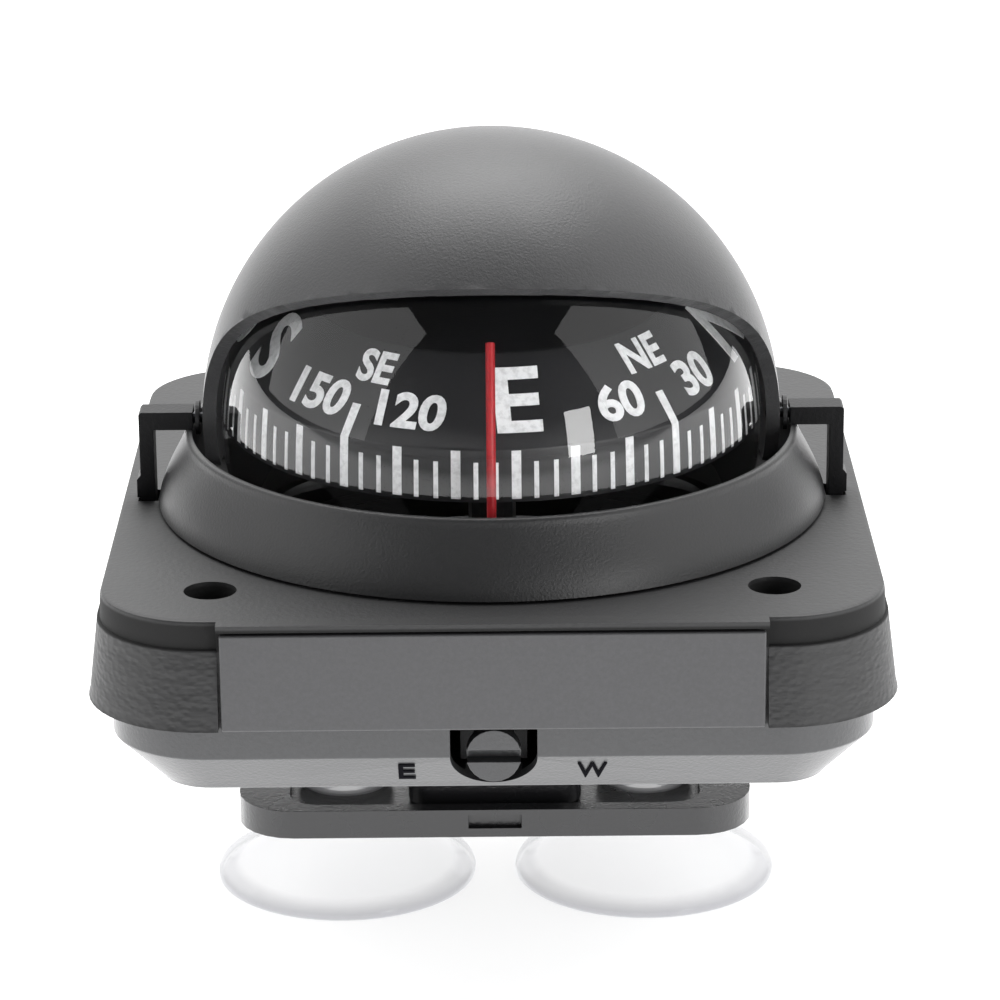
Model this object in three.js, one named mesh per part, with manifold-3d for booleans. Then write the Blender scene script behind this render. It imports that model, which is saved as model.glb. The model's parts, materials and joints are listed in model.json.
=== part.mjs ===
// Dash-mount binnacle compass: a liquid-filled globe with a domed card under a tilting hood,
// in a two-part housing on a plate with two suction cups. Millimetres, +Z up, the window
// faces -Y, and the origin is the middle of the footprint on the plane the cups stand on.

import * as THREE from "three";
import { mergeVertices } from "three/addons/utils/BufferGeometryUtils.js";
import Module from "manifold-3d";

const wasm = await Module();
wasm.setup();

// ---------------------------------------------------------------- driving dimensions

// Gap between pieces that seat on or fit round one another, and round a shaft that turns.
const seatGap = 0.3;
const runningGap = 0.1;

// How far a cutting tool runs past a face, and how far a joined piece runs into its neighbour.
const overrun = 1;
const weld = 0.3;

// Sides of the round faces: large rings, ordinary bores and small screws.
const largeSides = 36;
const middleSides = 24;
const smallSides = 12;

// Upper housing: a low rounded box whose walls flare outward toward the parting line.
const housingSideMargin = 3.05;
const housingEndMargin = 5.3;
const housingHeight = 10.9;
const housingCornerRadius = 12;
const housingWall = 2.4;
const topPlateThickness = 2.2;
const wallDraftDegrees = 7.5;
const bandHeight = 2.8;
const bandStep = 0.3;
const bandTaper = 0.1;
const topEdgeRound = 0.5;

// Smooth blank plate let into a boss on the front wall.
const frontPlateSideMargin = 1.8;
const frontPlateThickness = 0.8;
const frontLipHeight = 0.75;

// Lower tray: closes the housing from below, with an undercut slope all round.
const trayBottomZ = 24.5;
const trayHeight = 8.6;
const trayInset = 2.2;
const traySlopeRun = 5.1;
const traySlopeRise = 5.1;
const trayWall = 2.0;
const trayFloor = 1.8;

// Four long screws that hold the housing to the tray.
const housingScrewInsetX = 12.4;
const housingScrewInsetY = 10.2;
const housingScrewHeadRadius = 2.3;
const housingScrewHeadHeight = 1.7;
const housingScrewShankRadius = 1.3;
const housingScrewSink = 5.7;
const housingScrewCrossWidth = 0.8;
const housingScrewCrossLength = 3.2;
const housingScrewCrossDepth = 0.9;
const housingBossWall = 1.4;
const housingBossFloor = 2.0;
const housingScrewTipAboveFloor = 2.2;

// Globe: a clear truncated sphere with a flange, clamped under the top plate.
const globeRadius = 28;
const globeWall = 1.6;
const globeForward = 4;
const globeCentreAboveTop = 8.5;
const globeFlangeWidth = 2.75;
const globeHoleClearance = 0.8;
const globeFlangeThickness = 1.6;
const globeArcSteps = 8;

// Seal, bowl and the parts in the bowl's floor.
const sealThickness = 0.7;
const sealWidth = 3.8;
const sealInset = 0.2;
const bowlFlangeMargin = 0.4;
const bowlFlangeThickness = 1.6;
const bowlMouthMargin = 0.8;
const bowlWall = 1.6;
const bowlDepth = 2.9;
const bowlFloor = 1.6;
const bowlScrewMargin = 0.5;
const bowlScrewShankRadius = 0.8;
const bowlScrewHeadRadius = 1.7;
const bowlScrewHeadHeight = 1.2;
const bowlBossRadius = 2.0;
const bowlScrewReach = 0.8;
const bowlScrewSlotWidth = 0.5;
const bowlScrewSlotDepth = 0.5;
const diaphragmWallDistance = 3;
const diaphragmRadius = 7;
const diaphragmThickness = 0.8;
const diaphragmHoleRadius = 5;
const diaphragmRingThickness = 1.0;
const fillerWallDistance = 10;
const fillerShankRadius = 1.5;
const fillerHeadRadius = 2.6;
const fillerHeadHeight = 1.1;
const fillerSlotWidth = 0.6;
const fillerSlotDepth = 0.5;

// Pivot: a post in the bowl, a steel pin in the post, a jewel in the card's hub.
const postRadius = 1.7;
const postFootRadius = 5;
const postFootHeight = 1.5;
const postTopBelowCentre = 1.0;
const postShankRadius = 1.2;
const pivotPinRadius = 0.4;
const pivotPinDepth = 3.7;
const pivotTipAboveCentre = 2.2;
const pivotTipLength = 1.2;
const jewelRadius = 1.5;
const jewelHeight = 2.8;
const jewelMouthRadius = 1.0;
const jewelTipClearance = 0.4;

// Card: a vertical skirt that carries the degree marks, a cone for the figures and a flat top.
const cardLubberClearance = 3.5;
const cardConeRun = 6.3;
const cardSkirtBottom = -1.8;
const cardSkirtTop = 3.2;
const cardTopHeight = 10.3;
const cardWall = 0.8;
const hubDiscBottom = 2.2;
const hubDiscThickness = 0.8;
const hubBossRadius = 3.2;
const hubSleeveRoof = 0.8;
const hubHoleCount = 6;
const hubHoleRadius = 3;
const cardMagnetLength = 14;
const cardMagnetSection = 2;
const cardMagnetOffset = 4.6;
const cardHeadingDegrees = 96;

// Lubber line: a thin post bent to follow the inside of the globe.
const lubberRadius = 0.5;
const lubberGlobeClearance = 0.6;
const lubberTopHeight = 16;
const lubberBendHeight = -12.5;

// Collar: the raised ring on the top plate; the hood slides down inside it.
const collarHoodGap = 1.0;
const collarFlare = 3.7;
const collarHeight = 7.7;
const collarLipWidth = 0.8;
const collarLipRise = 0.64;
const collarLipFlat = 0.36;
const collarBulge = 0.5;
const collarPegRadius = 1.1;
const collarPegLength = 1.6;
const collarPegAngles = [90, 200, 340];

// Hood: part of a thin sphere concentric with the globe, turning on two side pins.
const hoodGlobeGap = 0.6;
const hoodWall = 1.4;
const hoodBrowElevation = 41.35;
const hoodEarReach = 2.6;
const hoodBrowPower = 2.5;
const hoodEarDrop = 5;
const hoodEarRound = 1.4;
const hoodRearEdgeHeight = 8.5;
const hoodBrowOverrun = 2.4;
const hoodSegments = 36;
const hoodRings = 16;

// Hood arms: straps that stand in slots beside the collar and carry the pins.
const armThickness = 1.5;
const armBarThickness = 1.9;
const armWidth = 3.2;
const armCollarGap = 0.35;
const armBarAboveAxis = 1.0;
const armCornerCut = 0.25;
const armFootFlare = 0.4;
const armFootHeight = 2.4;
const armFootTaper = 0.5;
const armTongueBelowTop = 3.0;
const armSlotDepthSpare = 0.5;
const hoodPinRadius = 0.55;
const hoodPinRecess = 0.4;
const hoodPinCover = 2.95;
const hoodWasherGap = 0.25;
const hoodWasherRadius = 1.8;
const hoodWasherThickness = 0.4;

// Compensators: two slotted screws in the tray, each with a small magnet across it.
const compensatorHeight = 5.0;
const compensatorHeadRadius = 2.7;
const compensatorHeadLength = 1.8;
const compensatorHeadSink = 0.8;
const compensatorNeckRadius = 1.5;
const compensatorNeckLength = 2.6;
const compensatorRodRadius = 1.9;
const compensatorRodLength = 20;
const compensatorSlotWidth = 1.2;
const compensatorSlotDepth = 1.0;
const compensatorMagnetRadius = 0.7;
const compensatorMagnetInset = 4;
const compensatorOpeningMargin = 1.55;
const bearingLength = 9;
const bearingWall = 1.3;

// Stand: pedestal, plate and suction cups.
const plateEndWall = 5.4;
const plateSideWall = 1.8;
const plateThickness = 3.1;
const plateBottomZ = 8.65;
const plateCornerRadius = 6;
const platePocketSink = 1.55;
const platePocketCornerRadius = 3;
const pocketCupGap = 0.5;
const pocketPedestalGap = 2.2;
const plateNotchWidth = 5.6;
const plateNotchHeight = 1.5;
const plateNotchDepth = 0.8;
const plateNotchRise = 0.2;
const pedestalCupGap = 1.7;
const pedestalDepth = 16;
const pedestalCornerRadius = 2.5;
const plateScrewInset = 4.2;
const trayScrewInset = 3.5;
const standScrewHeadRadius = 2.2;
const standScrewHeadHeight = 1.3;
const standScrewHeadRound = 0.5;
const standScrewShankRadius = 1.1;
const standScrewGrip = 5.2;
const standScrewSlotWidth = 0.6;
const standScrewSlotDepth = 0.6;
const cupGap = 4.2;
const cupRadius = 14;
const cupNeckRadius = 3.2;
const cupHeadRadius = 5.2;
const cupHeadHeight = 2.4;
const cupHeadRound = 0.8;
const cupShoulderStep = 1.0;
const cupWall = 0.6;
const cupLipThickness = 0.9;
const cupRimWidth = 0.5;
const cupRoof = 1.75;

// ---------------------------------------------------------------- derived levels

/** Radius of a sphere about the globe's centre at a height from that centre. */
const radiusAt = (radius, height) => Math.sqrt(radius ** 2 - height ** 2);

const partingZ = trayBottomZ + trayHeight + seatGap;
const topZ = partingZ + housingHeight;
const topUndersideZ = topZ - topPlateThickness;
const globeY = -globeForward;
const globeZ = topZ + globeCentreAboveTop;
const globeInnerRadius = globeRadius - globeWall;
const flangeTop = topUndersideZ - seatGap - globeZ;
const flangeBottom = flangeTop - globeFlangeThickness;
const globeFlangeRadius = radiusAt(globeRadius, flangeTop) + globeFlangeWidth;
const globeHoleRadius = radiusAt(globeRadius, topZ - globeZ) + globeHoleClearance;
const sealTop = flangeBottom - seatGap;
const sealBottom = sealTop - sealThickness;
const bowlTop = sealBottom - seatGap;
const bowlFlangeBottom = bowlTop - bowlFlangeThickness;
const bowlFloorTop = bowlTop - bowlDepth;
const bowlFloorBottom = bowlFloorTop - bowlFloor;
const bowlInnerRadius = radiusAt(globeInnerRadius, flangeBottom) + bowlMouthMargin;
const bowlOuterRadius = bowlInnerRadius + bowlWall;
const bowlScrewCircleRadius = globeFlangeRadius + seatGap + bowlBossRadius + bowlScrewMargin;
const bowlFlangeRadius = bowlScrewCircleRadius + bowlScrewHeadRadius + bowlFlangeMargin;
const diaphragmOffset = bowlInnerRadius - diaphragmRadius - diaphragmWallDistance;
const fillerOffset = bowlInnerRadius - fillerWallDistance;
const lubberPathRadius = globeInnerRadius - lubberGlobeClearance - lubberRadius;
const cardRadius = lubberPathRadius - lubberRadius - cardLubberClearance;
const cardTopRadius = cardRadius - cardConeRun;

const hoodInnerRadius = globeRadius + hoodGlobeGap;
const hoodOuterRadius = hoodInnerRadius + hoodWall;
const collarLipRadius = hoodOuterRadius + collarHoodGap;
const collarBaseRadius = collarLipRadius + collarFlare;
const armInnerReach = hoodOuterRadius + hoodWasherGap + hoodWasherThickness + seatGap;
const armOuterReach = collarBaseRadius + armCollarGap + armThickness;
const armInnerFace = armOuterReach - armThickness;
const armFootReach = armOuterReach + armFootFlare;
const hoodPinInnerEnd = hoodInnerRadius + hoodPinRecess;
const hoodPinOuterEnd = armOuterReach - hoodPinCover;
const armBarTop = globeZ + armBarAboveAxis;
const armBarBottom = armBarTop - armBarThickness;

const housingHalfWidth = armFootReach + housingSideMargin;
const housingHalfDepth = globeForward + collarBaseRadius + housingEndMargin;
const housingScrewX = housingHalfWidth - housingScrewInsetX;
const housingScrewY = housingHalfDepth - housingScrewInsetY;
const frontPlateWidth = 2 * (housingHalfWidth - housingCornerRadius - frontPlateSideMargin);
const trayFloorTopZ = trayBottomZ + trayFloor;
const plateTopZ = plateBottomZ + plateThickness;
const pocketFloorZ = plateTopZ - platePocketSink;
const screwSeatZ = topZ - housingScrewSink;
const housingBossBottomZ = screwSeatZ - housingBossFloor;
const housingBossRadius = housingScrewHeadRadius + seatGap + housingBossWall;
const compensatorZ = trayBottomZ + compensatorHeight;

const cupSpacing = 2 * cupRadius + cupGap;
const cupShoulderRadius = cupHeadRadius + cupShoulderStep;
const cupShoulderZ = plateBottomZ - seatGap;
const cupCrownZ = cupShoulderZ - cupRoof;
const platePocketLength = cupSpacing + 2 * (cupHeadRadius + pocketCupGap);
const platePocketDepth = pedestalDepth + 2 * pocketPedestalGap;
const pedestalWidth = cupSpacing - 2 * (cupHeadRadius + pedestalCupGap);
const plateScrewSpread = pedestalWidth / 2 - plateScrewInset;
const trayScrewSpread = pedestalDepth / 2 - trayScrewInset;

// ---------------------------------------------------------------- materials

const finishes = {
  satinBlack: { color: 0x232325, roughness: 0.5, metalness: 0 },
  grainBlack: { color: 0x2a2a2c, roughness: 0.72, metalness: 0 },
  smoothGrey: { color: 0x3b3b3e, roughness: 0.45, metalness: 0 },
  trayGrey: { color: 0x3a3b3d, roughness: 0.6, metalness: 0 },
  deepBlack: { color: 0x111112, roughness: 0.6, metalness: 0 },
  clearAcrylic: { color: 0xe8f0f4, roughness: 0.04, metalness: 0, transparent: true, opacity: 0.3 },
  clearVinyl: { color: 0xdfe9f2, roughness: 0.12, metalness: 0, transparent: true, opacity: 0.4 },
  cardBlack: { color: 0x161618, roughness: 0.5, metalness: 0 },
  lubberRed: { color: 0xc01822, roughness: 0.4, metalness: 0 },
  blackRubber: { color: 0x18181a, roughness: 0.85, metalness: 0 },
  steel: { color: 0xb9bcc0, roughness: 0.3, metalness: 1 },
  darkSteel: { color: 0x4a4c50, roughness: 0.4, metalness: 1 },
  brass: { color: 0xb8923f, roughness: 0.35, metalness: 1 },
  jewelRed: { color: 0x8e1b3a, roughness: 0.1, metalness: 0 },
  nylonWhite: { color: 0xe6e4dc, roughness: 0.5, metalness: 0 },
};

// ---------------------------------------------------------------- shape helpers

const radians = THREE.MathUtils.degToRad;

/** Turn a closed three.js geometry into a manifold solid with its faces outward. */
function solidOf(geometry) {
  const bare = new THREE.BufferGeometry();
  bare.setAttribute("position", geometry.getAttribute("position"));
  bare.setIndex(geometry.getIndex());
  const merged = mergeVertices(bare, 1e-4);
  const vertProperties = new Float32Array(merged.getAttribute("position").array);
  const triVerts = new Uint32Array(merged.getIndex().array);
  if (signedVolume(vertProperties, triVerts) < 0) {
    for (let i = 0; i < triVerts.length; i += 3) {
      [triVerts[i + 1], triVerts[i + 2]] = [triVerts[i + 2], triVerts[i + 1]];
    }
  }
  const kept = [];
  for (let i = 0; i < triVerts.length; i += 3) {
    const [a, b, c] = triVerts.subarray(i, i + 3);
    if (a !== b && b !== c && c !== a) {
      kept.push(a, b, c);
    }
  }
  const mesh = new wasm.Mesh({ numProp: 3, vertProperties, triVerts: new Uint32Array(kept) });
  return new wasm.Manifold(mesh);
}

/** Volume enclosed by a triangle mesh, negative when its faces point inward. */
function signedVolume(positions, triangles) {
  const [a, b, c] = [new THREE.Vector3(), new THREE.Vector3(), new THREE.Vector3()];
  let sum = 0;
  for (let i = 0; i < triangles.length; i += 3) {
    a.fromArray(positions, triangles[i] * 3);
    b.fromArray(positions, triangles[i + 1] * 3);
    c.fromArray(positions, triangles[i + 2] * 3);
    sum += a.dot(b.cross(c)) / 6;
  }
  return sum;
}

/** Geometry of a finished solid. */
function geometryOf(solid) {
  const mesh = solid.getMesh();
  const geometry = new THREE.BufferGeometry();
  geometry.setAttribute("position", new THREE.BufferAttribute(new Float32Array(mesh.vertProperties), 3));
  geometry.setIndex(new THREE.BufferAttribute(new Uint32Array(mesh.triVerts), 1));
  geometry.computeVertexNormals();
  return geometry;
}

/** Solid of revolution about Z from [radius, height] pairs. */
function turned(profile, segments = largeSides) {
  const points = profile.map(([radius, height]) => new THREE.Vector2(radius, height));
  return solidOf(new THREE.LatheGeometry(points, segments).rotateX(Math.PI / 2));
}

/** Ring of revolution about Z: the profile is closed back to its first point. */
function turnedRing(profile, segments = largeSides) {
  return turned([...profile, profile[0]], segments);
}

/** Upright cylinder between two heights, at x, y. */
function rod(radius, fromZ, toZ, x = 0, y = 0, segments = smallSides) {
  const geometry = new THREE.CylinderGeometry(radius, radius, toZ - fromZ, segments);
  geometry.rotateX(Math.PI / 2);
  geometry.translate(x, y, (fromZ + toZ) / 2);
  return solidOf(geometry);
}

/** Cylinder along X between two places, at y, z. */
function rodAlongX(radius, fromX, toX, y = 0, z = 0, segments = smallSides) {
  const geometry = new THREE.CylinderGeometry(radius, radius, toX - fromX, segments);
  geometry.rotateZ(Math.PI / 2);
  geometry.translate((fromX + toX) / 2, y, z);
  return solidOf(geometry);
}

/** Box between two corners. */
function block([x0, y0, z0], [x1, y1, z1]) {
  const geometry = new THREE.BoxGeometry(x1 - x0, y1 - y0, z1 - z0);
  geometry.translate((x0 + x1) / 2, (y0 + y1) / 2, (z0 + z1) / 2);
  return solidOf(geometry);
}

/** Points round a rounded rectangle, counter-clockwise. */
function roundedOutline(halfWidth, halfDepth, radius, steps) {
  const corners = [[1, 1, 0], [-1, 1, 90], [-1, -1, 180], [1, -1, 270]];
  const points = [];
  for (const [signX, signY, startAngle] of corners) {
    for (let i = 0; i <= steps; i++) {
      const angle = radians(startAngle + (90 * i) / steps);
      const x = signX * (halfWidth - radius) + radius * Math.cos(angle);
      const y = signY * (halfDepth - radius) + radius * Math.sin(angle);
      points.push([x, y]);
    }
  }
  return points;
}

/** Solid through a stack of rounded rectangles {z, halfWidth, halfDepth, radius}. */
function stacked(sections, steps = 6) {
  const positions = [];
  const indices = [];
  const count = 4 * (steps + 1);
  for (const { z, halfWidth, halfDepth, radius } of sections) {
    for (const [x, y] of roundedOutline(halfWidth, halfDepth, radius, steps)) {
      positions.push(x, y, z);
    }
  }
  for (let level = 0; level + 1 < sections.length; level++) {
    for (let i = 0; i < count; i++) {
      const low = level * count + i;
      const lowNext = level * count + ((i + 1) % count);
      indices.push(low, lowNext, low + count);
      indices.push(lowNext, lowNext + count, low + count);
    }
  }
  const last = (sections.length - 1) * count;
  for (let i = 1; i + 1 < count; i++) {
    indices.push(0, i + 1, i);
    indices.push(last, last + i, last + i + 1);
  }
  const geometry = new THREE.BufferGeometry();
  geometry.setAttribute("position", new THREE.Float32BufferAttribute(positions, 3));
  geometry.setIndex(indices);
  return solidOf(geometry);
}

/** Extrude a shape drawn in the X-Z plane along Y, centred on a given y. */
function extrudedAlongY(shape, depth, y) {
  const geometry = new THREE.ExtrudeGeometry(shape, { depth, bevelEnabled: false });
  geometry.rotateX(Math.PI / 2);
  geometry.translate(0, y + depth / 2, 0);
  return solidOf(geometry);
}

/** Shape through a list of [across, up] points. */
function outlineShape(points) {
  return new THREE.Shape(points.map(([across, up]) => new THREE.Vector2(across, up)));
}

/** [radius, height] points on an arc about the origin, angles in degrees above the horizon. */
function arcProfile(radius, fromDegrees, toDegrees, steps) {
  const points = [];
  for (let i = 0; i <= steps; i++) {
    const angle = radians(fromDegrees + ((toDegrees - fromDegrees) * i) / steps);
    const across = Math.abs(Math.cos(angle)) < 1e-9 ? 0 : radius * Math.cos(angle);
    points.push([across, radius * Math.sin(angle)]);
  }
  return points;
}

/** Elevation, in degrees, at which a sphere crosses a height. */
function elevationAt(radius, height) {
  return THREE.MathUtils.radToDeg(Math.asin(height / radius));
}

/** Straight slot for a screwdriver, cut across the Z axis between two heights. */
function slotAcross(width, length, fromZ, toZ) {
  return block([-length / 2, -width / 2, fromZ], [length / 2, width / 2, toZ]);
}

/** Two places along a side's outward direction, lowest first. */
function ordered(sign, near, far) {
  return sign < 0 ? [-far, -near] : [near, far];
}

/** Subtract every tool from a solid. */
function cut(solid, tools) {
  return tools.reduce((rest, tool) => rest.subtract(tool), solid);
}

/** Add every piece to a solid. */
function joined(solid, pieces) {
  return pieces.reduce((whole, piece) => whole.add(piece), solid);
}

// ---------------------------------------------------------------- assembly groups

const compass = new THREE.Group();
const globeGroup = new THREE.Group();
globeGroup.position.set(0, globeY, globeZ);
compass.add(globeGroup);

/** Put a finished solid in the scene graph as a named mesh with its own material. */
function addPiece(parent, name, solid, finish) {
  const mesh = new THREE.Mesh(geometryOf(solid), new THREE.MeshStandardMaterial(finishes[finish]));
  mesh.name = name;
  parent.add(mesh);
  return mesh;
}

const cornerSigns = [[-1, -1], [1, -1], [1, 1], [-1, 1]];
const sides = [["left", -1], ["right", 1]];

// ---------------------------------------------------------------- housing and tray

const bandBottomZ = topZ - bandHeight;
const frontY = -housingHalfDepth;
const frontPocketTopZ = topZ - frontLipHeight;
const housingWallTangent = Math.tan(radians(wallDraftDegrees));

/** Section of the drafted housing wall at a height, moved in by an inset. */
function housingSection(z, inset = 0) {
  const drafted = THREE.MathUtils.clamp(z - partingZ, 0, housingHeight - bandHeight);
  const moved = housingWallTangent * drafted + inset;
  return {
    z,
    halfWidth: housingHalfWidth - moved,
    halfDepth: housingHalfDepth - moved,
    radius: housingCornerRadius - moved,
  };
}

/** Places of the four housing screws. */
function housingScrewPlaces() {
  return cornerSigns.map(([signX, signY]) => [signX * housingScrewX, signY * housingScrewY]);
}

/** Places of the four bowl screws. */
function bowlScrewPlaces() {
  const along = bowlScrewCircleRadius * Math.SQRT1_2;
  return cornerSigns.map(([signX, signY]) => [signX * along, globeY + signY * along]);
}

/** Places of the collar's locating pegs. */
function collarPegPlaces() {
  const radius = (collarLipRadius + collarBaseRadius) / 2;
  return collarPegAngles.map((degrees) => {
    const angle = radians(degrees);
    return [radius * Math.cos(angle), globeY + radius * Math.sin(angle)];
  });
}

/** Box over one side's hood arm, grown by a clearance, between two heights. */
function armBox(sign, nearX, farX, fromZ, toZ, clearance = 0) {
  const xs = ordered(sign, nearX - clearance, farX + clearance);
  const halfWidth = armWidth / 2 + clearance;
  return block([xs[0], globeY - halfWidth, fromZ], [xs[1], globeY + halfWidth, toZ]);
}

function makeUpperHousing() {
  const outside = stacked([
    housingSection(partingZ),
    housingSection(bandBottomZ),
    housingSection(bandBottomZ + bandStep, bandStep),
    housingSection(topZ - topEdgeRound, bandStep + bandTaper),
    housingSection(topZ, bandStep + bandTaper + topEdgeRound),
  ]);
  const inside = stacked([
    { ...housingSection(partingZ, housingWall), z: partingZ - overrun },
    housingSection(topUndersideZ, housingWall),
  ]);
  const frontBoss = block(
    [-frontPlateWidth / 2, frontY, partingZ],
    [frontPlateWidth / 2, frontY + housingWall, topZ],
  );
  const frontPocket = block(
    [-frontPlateWidth / 2 - overrun, frontY - overrun, partingZ - overrun],
    [frontPlateWidth / 2 + overrun, frontY + frontPlateThickness + seatGap, frontPocketTopZ],
  );
  const bosses = [];
  const holes = [rod(globeHoleRadius, topUndersideZ - overrun, topZ + overrun, 0, globeY, largeSides)];
  for (const [x, y] of housingScrewPlaces()) {
    bosses.push(rod(housingBossRadius, housingBossBottomZ, topUndersideZ + weld, x, y));
    holes.push(rod(housingScrewHeadRadius + seatGap, screwSeatZ, topZ + overrun, x, y, middleSides));
    const [holeBottom, holeTop] = [housingBossBottomZ - overrun, screwSeatZ + overrun];
    holes.push(rod(housingScrewShankRadius + seatGap, holeBottom, holeTop, x, y));
  }
  for (const [x, y] of bowlScrewPlaces()) {
    bosses.push(rod(bowlBossRadius, globeZ + bowlTop + seatGap, topUndersideZ + weld, x, y));
    const holeTop = topUndersideZ + bowlScrewReach + seatGap;
    holes.push(rod(bowlScrewShankRadius + seatGap, globeZ + bowlTop, holeTop, x, y));
  }
  for (const [x, y] of collarPegPlaces()) {
    holes.push(rod(collarPegRadius + seatGap, topUndersideZ - overrun, topZ + overrun, x, y));
  }
  for (const [, sign] of sides) {
    const slotBottom = topZ - armTongueBelowTop - armSlotDepthSpare;
    holes.push(armBox(sign, armInnerFace, armOuterReach, slotBottom, topZ + overrun, seatGap));
  }
  const shell = cut(outside.add(frontBoss), [frontPocket, inside]);
  return cut(joined(shell, bosses), holes);
}

function makeFrontPlate() {
  return block(
    [-frontPlateWidth / 2, frontY, partingZ],
    [frontPlateWidth / 2, frontY + frontPlateThickness, frontPocketTopZ - seatGap],
  );
}

const trayHalfWidth = housingHalfWidth - trayInset;
const trayHalfDepth = housingHalfDepth - trayInset;
const trayRimZ = trayBottomZ + trayHeight;
const traySlopeTopZ = trayBottomZ + traySlopeRise;
const trayBossTopZ = housingBossBottomZ - seatGap;
const screwTipZ = trayFloorTopZ + housingScrewTipAboveFloor;

/** Section of the tray's wall at a height, moved in by an inset. */
function traySection(z, inset = 0) {
  const slope = (traySlopeRun * Math.max(traySlopeTopZ - z, 0)) / traySlopeRise;
  const moved = slope + inset;
  return {
    z,
    halfWidth: trayHalfWidth - moved,
    halfDepth: trayHalfDepth - moved,
    radius: housingCornerRadius - trayInset - moved,
  };
}

/** U-shaped opening in the tray's wall round a compensator, on the side turned to. */
function compensatorOpening(turnDegrees, distance) {
  const halfWidth = compensatorHeadRadius + compensatorOpeningMargin;
  const shape = new THREE.Shape();
  shape.moveTo(halfWidth, trayRimZ + overrun);
  shape.lineTo(halfWidth, compensatorZ);
  shape.absarc(0, compensatorZ, halfWidth, 0, Math.PI, true);
  shape.lineTo(-halfWidth, trayRimZ + overrun);
  const depth = traySlopeRun + trayWall;
  const geometry = new THREE.ExtrudeGeometry(shape, { depth, bevelEnabled: false, curveSegments: 8 });
  geometry.rotateX(Math.PI / 2);
  geometry.translate(0, depth - overrun - distance, 0);
  geometry.rotateZ(radians(turnDegrees));
  return solidOf(geometry);
}

function makeLowerTray() {
  const outside = stacked([
    traySection(trayBottomZ),
    traySection(traySlopeTopZ),
    traySection(trayRimZ),
  ]);
  const inside = stacked([
    traySection(trayFloorTopZ, trayWall),
    traySection(traySlopeTopZ, trayWall),
    { ...traySection(trayRimZ, trayWall), z: trayRimZ + overrun },
  ]);
  const bosses = [];
  const holes = [];
  for (const [x, y] of housingScrewPlaces()) {
    const boreRadius = housingScrewShankRadius + seatGap;
    bosses.push(rod(boreRadius + housingBossWall, trayFloorTopZ - weld, trayBossTopZ, x, y));
    holes.push(rod(boreRadius, screwTipZ - seatGap, trayBossTopZ + overrun, x, y));
  }
  for (const [, sign] of sides) {
    const [holeBottom, holeTop] = [trayBottomZ - overrun, trayFloorTopZ + overrun];
    holes.push(rod(standScrewShankRadius + seatGap, holeBottom, holeTop, 0, sign * trayScrewSpread));
  }
  holes.push(compensatorOpening(0, trayHalfDepth));
  holes.push(compensatorOpening(90, trayHalfWidth));
  return cut(joined(outside.subtract(inside), bosses), holes);
}

function makeHousingScrew() {
  const headBottom = screwSeatZ + seatGap;
  const headTop = headBottom + housingScrewHeadHeight;
  const [width, length] = [housingScrewCrossWidth, housingScrewCrossLength];
  const [crossBottom, crossTop] = [headTop - housingScrewCrossDepth, headTop + overrun];
  return rod(housingScrewHeadRadius, headBottom, headTop, 0, 0, middleSides)
    .add(rod(housingScrewShankRadius, screwTipZ, headBottom + weld))
    .subtract(slotAcross(width, length, crossBottom, crossTop))
    .subtract(slotAcross(length, width, crossBottom, crossTop));
}

addPiece(compass, "upper_housing", makeUpperHousing(), "grainBlack");
addPiece(compass, "front_plate", makeFrontPlate(), "smoothGrey");
addPiece(compass, "lower_tray", makeLowerTray(), "trayGrey");
housingScrewPlaces().forEach(([x, y], index) => {
  addPiece(compass, `housing_screw_${index + 1}`, makeHousingScrew(), "darkSteel").position.set(x, y, 0);
});

// ---------------------------------------------------------------- collar

function makeCollar() {
  const bottom = topZ + seatGap;
  const top = topZ + collarHeight;
  const shoulderZ = top - collarLipRise;
  const profile = [[collarLipRadius, bottom]];
  const steps = 6;
  for (let i = 0; i <= steps; i++) {
    const t = i / steps;
    const straight = THREE.MathUtils.lerp(collarBaseRadius, collarLipRadius + collarLipWidth, t);
    const bulge = collarBulge * Math.sin(Math.PI * t) * (1 - t);
    profile.push([straight + bulge, THREE.MathUtils.lerp(bottom, shoulderZ, t)]);
  }
  profile.push([collarLipRadius + collarLipFlat, top]);
  profile.push([collarLipRadius, top]);
  const ring = turnedRing(profile);
  const pegs = collarPegPlaces().map(([x, y]) => {
    return rod(collarPegRadius, bottom - collarPegLength, bottom + weld, x, y - globeY);
  });
  const notches = sides.map(([, sign]) => {
    const [x0, x1] = ordered(sign, collarLipRadius - overrun, collarBaseRadius + overrun);
    const halfWidth = armWidth / 2 + seatGap;
    return block([x0, -halfWidth, armBarBottom - seatGap], [x1, halfWidth, top + overrun]);
  });
  return cut(joined(ring, pegs), notches);
}

addPiece(compass, "collar", makeCollar(), "satinBlack").position.y = globeY;

// ---------------------------------------------------------------- hood and its arms

/** Sphere about the origin with its poles on the X axis. */
function hoodSphere(radius) {
  return solidOf(new THREE.SphereGeometry(radius, hoodSegments, hoodRings).rotateZ(Math.PI / 2));
}

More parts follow.
